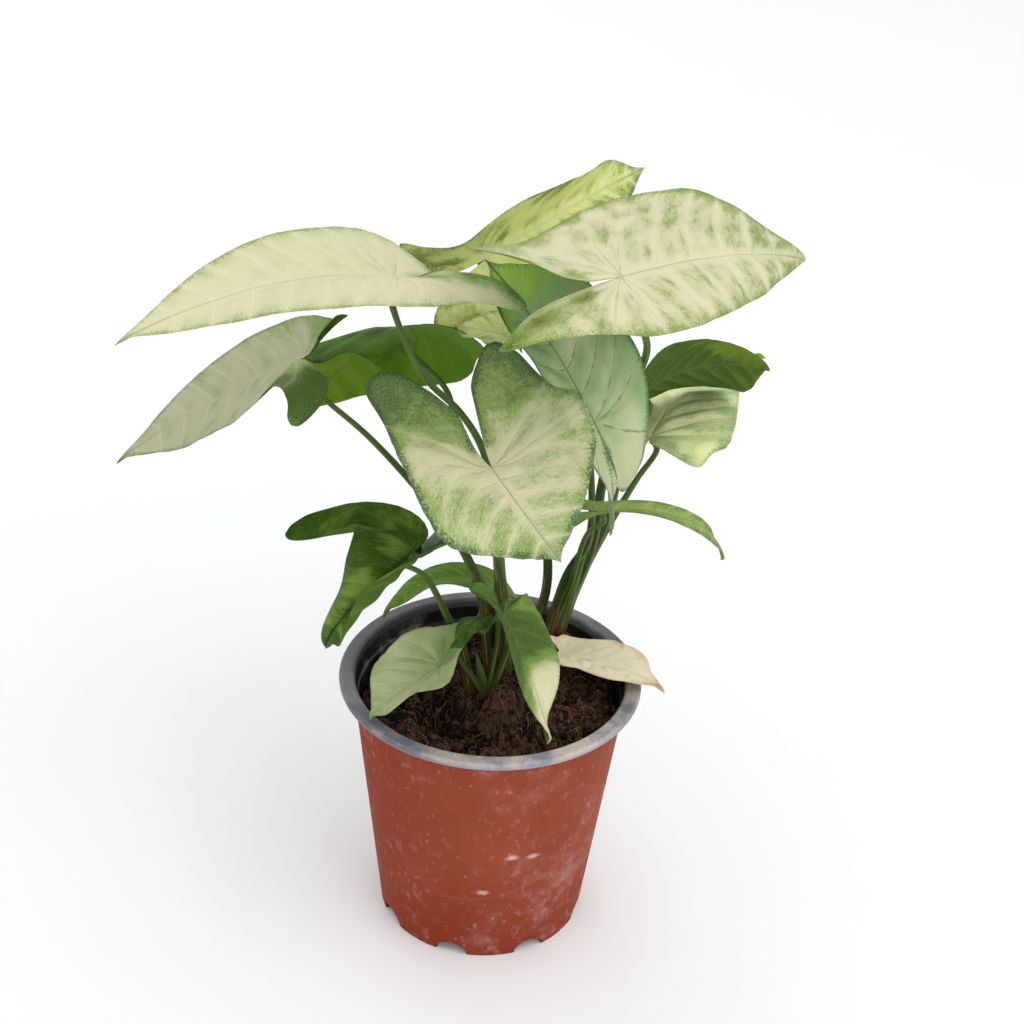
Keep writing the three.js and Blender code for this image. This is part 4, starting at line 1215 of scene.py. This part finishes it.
# ---- stalks ------------------------------------------------------------------------------
SIDES = 18  # round a stalk or a shoot
STALK_STEPS, SHOOT_STEPS = 64, 40  # above the soil
SUNK, SUNK_STEPS = 8, 4  # how far they go down into the soil, and the points on that way
STRAIGHT = 1.5  # how far they rise straight out of it
CLUMP_MIDDLE = (12.0, 16.0, 0)


def tube(path, radii, shape, start):
    """A closed tube along a path. Its corners lie at radius times shape(angle, part of the
    length) round the path, in a frame that is carried along with no turn of its own, starting
    with angle 0 towards start. Returns points, faces and the values for its paint."""
    tangents = unit(np.gradient(path, axis=0))
    across = np.empty_like(path)
    current = np.asarray(start, float)
    for ring, tangent in enumerate(tangents):
        current = unit(current - (current @ tangent) * tangent)
        across[ring] = current
    beside = np.cross(tangents, across)
    far = travelled(path)
    angle = np.linspace(-np.pi, np.pi, SIDES + 1)
    radius = radii[:, None] * shape(angle, (far / far[-1])[:, None])
    ring = across[:, None] * np.cos(angle)[:, None] + beside[:, None] * np.sin(angle)[:, None]
    points = path[:, None] + radius[..., None] * ring
    ends = np.broadcast_to(path[[0, -1], None], (2, SIDES + 1, 3))
    points = np.concatenate([ends[:1], points, ends[1:]])
    far = np.concatenate([far[:1], far, far[-1:]])[:, None]
    along = stack(angle / TURN, far)
    values = {"along": along.reshape(-1, 2), "high": (along[..., 1] / far[-1]).ravel()}
    return points.reshape(-1, 3), grid_faces(len(points), SIDES + 1, flip=True), values


def stalk_path(root, route, level, count):
    """Straight up out of the soil and then smoothly through the points of the route. Also the
    part of the way above the soil, from 0 to 1, at each point."""
    ground = float(soil_height(*np.array(root, float), level))
    path = smooth_path([(*root, ground + STRAIGHT), *route], count)
    foot = stack(*np.array(root, float), np.linspace(ground - SUNK, ground, SUNK_STEPS))
    u = np.concatenate([np.zeros(SUNK_STEPS), np.linspace(0, 1, count + 1)])
    return np.concatenate([foot, path]), u


def leaf_stalk(leaf, level, sheath):
    """A leaf's stalk: radius r1 + (r0 - r1)(1 - u)^1.5 along its length u, with the grooved
    sheath up to half its length and a slight swelling under the blade."""
    down = turned(np.array([0, 0, -1.0]), leaf.turn)
    base = np.array(leaf.base, float)
    route = [*leaf.route, base + 6.2 * down, base + 0.9 * down]
    path, u = stalk_path(leaf.root, route, level, STALK_STEPS)
    low, high = leaf.thick
    radii = high + (low - high) * (1 - u) ** 1.5
    radii = radii * (1 + 0.18 * step(0.9, 0.97, u) * step(1.0, 0.97, u))

    def grooved(angle, part):
        wings = 0.2 * bell(np.abs(angle) - 0.8, 0.3)
        groove = sheath * bell(angle, 0.5)
        return 1 + (wings - groove) * (0.3 + 0.7 * step(0.62, 0.45, part))

    inwards = unit(np.array(CLUMP_MIDDLE) - (*leaf.root, 0))
    return tube(path, radii, grooved, inwards + (1e-3, 0, 0))


def shoot(root, tip, thick, level):
    """A rolled young leaf: thickest a third of the way up, with a pointed tip and one wrapped
    edge that winds round it."""
    middle = (np.array([*root, level]) + tip) / 2 + (0, 0, 4)
    path, u = stalk_path(root, [middle, tip], level, SHOOT_STEPS)
    radii = thick * (0.8 + 0.5 * step(0, 0.3, u)) * (1 - u**1.6) + 0.25

    def wrapped(angle, part):
        return 0.94 + 0.14 * np.mod(angle + 5 * part, TURN) / TURN

    return tube(path, radii, wrapped, (1, 0, 0))


def stalk_paint(settings, dry=None):
    """Paint of the stalks: green, lighter towards the blade, with fine lengthwise fibres and
    reddish brown streaks that thicken towards the soil, or in the two dry colours."""
    paint = Paint("dried_stalk" if dry else "stalk", 0.18)
    around, along, _ = paint.uv("along").parts()
    high = paint.value("high")
    turn = around * TURN
    ring = paint.vector(turn.math("COSINE"), turn.math("SINE"), along * 0.02)
    fibres = ring.noise(5.0, 3, 0.6)
    strips = ring.noise(2.2, 2, 0.5)
    blotch = paint.place().noise(60.0, 3, 0.6)
    streak = fibres * 0.6 + blotch * 0.6
    brown = (streak + high.step(0.0, 0.6, 0.14, -0.14)).step(0.6, 0.78)
    skin = high.step(0.25, 1.0).mix(settings.green, settings.light)
    skin = strips.step(0.42, 0.6, 0.4, 0).mix(skin, shaded(settings.green, 0.5))
    skin = (brown * 0.8).mix(skin, settings.brown)
    straw = strips.step(0.6, 0.68) * high.step(0.3, 0.7, 0.75, 0.1)
    skin = straw.mix(skin, settings.straw)
    if dry:
        skin = streak.step(0.4, 0.8).mix(*dry)
    return paint.finish(skin, fibres.step(0.3, 0.7, 0.38, 0.52), (fibres, 0.12), (blotch, 0.05))


# ---- operators ---------------------------------------------------------------------------
class BuildPot(bpy.types.Operator):
    """Builds the pot: a profile turned about the Z axis whose foot rises into arches"""

    bl_idname = "plant.build_pot"
    bl_label = "Pot"

    def execute(self, context):
        pot = in_mm(context.scene.plant_pot)
        shape, slots = pot_surface(pot)
        paints = [outside_paint(pot), rim_paint(pot), inside_paint(pot)]
        cut_drain_holes(add_piece("nursery_pot", shape, paints, "pot", "pot", slots), pot)
        return {"FINISHED"}


class BuildSoil(bpy.types.Operator):
    """Builds the root ball with its rough top, the coir fibres and the crumbs"""

    bl_idname = "plant.build_soil"
    bl_label = "Soil"

    def execute(self, context):
        soil, pot = in_mm(context.scene.plant_soil), in_mm(context.scene.plant_pot)
        peat, coir = [soil_paint(soil)], [fibre_paint(soil)]
        add_piece("root_ball", root_ball(soil.level, pot), peat, "soil", "soil")
        add_piece("coir_fibres", coir_fibres(soil.fibres, soil.level), coir, "soil")
        add_piece("peat_crumbs", peat_crumbs(soil.crumbs, soil.level), peat, "soil")
        return {"FINISHED"}


class BuildStalks(bpy.types.Operator):
    """Builds the leaf stalks and young shoots, one piece for each clump"""

    bl_idname = "plant.build_stalks"
    bl_label = "Stalks"

    def execute(self, context):
        settings, blades = context.scene.plant_stalks, context.scene.plant_blades
        level = in_mm(context.scene.plant_soil).level
        green, dry = stalk_paint(settings), stalk_paint(settings, (blades.dry, blades.dry_edge))
        for tuft in dict.fromkeys(leaf.tuft for leaf in LEAVES.values()):
            leaves = [leaf for leaf in LEAVES.values() if leaf.tuft == tuft]
            parts = [leaf_stalk(leaf, level, settings.sheath) for leaf in leaves]
            parts += [shoot(*young[1:], level) for young in SHOOTS if young[0] == tuft]
            paint, finish = (dry, "dry_leaf") if tuft == "dry" else (green, "stalk")
            add_piece(f"stalk_{tuft}", join(parts), [paint], finish, f"stalks_{tuft}")
        return {"FINISHED"}


class BuildBlades(bpy.types.Operator):
    """Builds the leaf blades, each on its own stalk"""

    bl_idname = "plant.build_blades"
    bl_label = "Leaf blades"

    def execute(self, context):
        for seed, (name, leaf) in enumerate(LEAVES.items()):
            build_blade(name, leaf, context.scene.plant_blades, seed)
        return {"FINISHED"}


class BuildStage(bpy.types.Operator):
    """Sets up the floor, the soft light and the camera"""

    bl_idname = "plant.build_stage"
    bl_label = "Stage"

    def execute(self, context):
        stage = context.scene.plant_stage
        context.scene.view_settings.view_transform = "Standard"
        build_floor(stage)
        build_lights(stage)
        build_camera()
        return {"FINISHED"}


# ---- stage, in metres --------------------------------------------------------------------
EYE = Vector((0, -0.717435, 0.612779))
LOOK = Vector((0.0062, 0.8592, -0.5116))
EYE_UP = Vector((-0.0481, 0.5113, 0.8581))
LENS, SENSOR = 77.34, 36.0  # millimetres
PLANT_MIDDLE = Vector((0, 0, 0.15))
FLOOR_SIDE = 6.0
DAYLIGHT = (0.96, 0.98, 1.0, 1)
# Soft square lights, each a metre wide: name, place and part of the window's power.
WINDOWS = (
    ("window", (0.7, -0.7, 1.3), 1.0),
    ("back_window", (-0.5, 1.1, 1.0), 0.4),
    ("front_window", (0.1, -1.4, 0.6), 0.3),
)


def build_floor(stage):
    """A pale table top far larger than the pot, with the faintest grain."""
    paint = Paint("table", 0.2)
    grain = paint.place().noise(40, 3)
    skin = grain.step(0.3, 0.7).mix(shaded(stage.floor, 0.995), stage.floor)
    paint.finish(skin, 0.9, (grain, 0.02))
    half = FLOOR_SIDE / 2
    corners = [(-half, -half, 0), (half, -half, 0), (half, half, 0), (-half, half, 0)]
    mesh = bpy.data.meshes.new("table_top")
    mesh.from_pydata(corners, [], [(0, 1, 2, 3)])
    mesh.materials.append(paint.material)
    link("table_top", mesh)


def build_lights(stage):
    """Even light from all round, a large window above on the right and weaker ones behind and
    in front, all turned to the plant."""
    world = bpy.data.worlds.new("daylight")
    world.use_nodes = True
    sky = world.node_tree.nodes["Background"].inputs
    sky["Color"].default_value, sky["Strength"].default_value = DAYLIGHT, stage.sky
    bpy.context.scene.world = world
    for name, place, part in WINDOWS:
        lamp = bpy.data.lights.new(name, "AREA")
        lamp.size, lamp.energy = 1.0, part * stage.window
        window = link(name, lamp)
        window.location = place
        window.rotation_mode = "QUATERNION"
        window.rotation_quaternion = (PLANT_MIDDLE - Vector(place)).to_track_quat("-Z", "Y")


def build_camera():
    """The camera at EYE, looking along LOOK."""
    right = LOOK.cross(EYE_UP).normalized()
    up = right.cross(LOOK).normalized()
    camera = bpy.data.cameras.new("camera")
    camera.lens, camera.sensor_width, camera.clip_start = LENS, SENSOR, 0.05
    eye = link("camera", camera)
    axes = Matrix((right, up, -LOOK.normalized())).transposed()
    eye.matrix_world = Matrix.Translation(EYE) @ axes.to_4x4()
    bpy.context.scene.camera = eye


# ---- panel and registration --------------------------------------------------------------
OPERATORS = (BuildPot, BuildSoil, BuildStalks, BuildBlades, BuildStage)
SETTINGS = {
    "plant_pot": PotSettings, "plant_soil": SoilSettings, "plant_blades": BladeSettings,
    "plant_stalks": StalkSettings, "plant_stage": StageSettings,
}


class PlantPanel(bpy.types.Panel):
    """Lists the plant's pieces and their sizes and colours"""

    bl_idname = "VIEW3D_PT_plant"
    bl_label = "Arrowhead plant"
    bl_space_type = "VIEW_3D"
    bl_region_type = "UI"
    bl_category = "Plant"

    def draw(self, context):
        for operator in OPERATORS:
            self.layout.operator(operator.bl_idname)
        for name, group in SETTINGS.items():
            box = self.layout.box()
            for setting in group.__annotations__:
                box.prop(getattr(context.scene, name), setting)


CLASSES = (*SETTINGS.values(), *OPERATORS, PlantPanel)


def register():
    for cls in CLASSES:
        bpy.utils.register_class(cls)
    for name, group in SETTINGS.items():
        setattr(bpy.types.Scene, name, PointerProperty(type=group))


def unregister():
    for name in SETTINGS:
        delattr(bpy.types.Scene, name)
    for cls in reversed(CLASSES):
        bpy.utils.unregister_class(cls)


def main():
    """Builds every piece and the stage."""
    register()
    for operator in OPERATORS:
        group, name = operator.bl_idname.split(".")
        getattr(getattr(bpy.ops, group), name)()


if __name__ == "__main__":
    main()
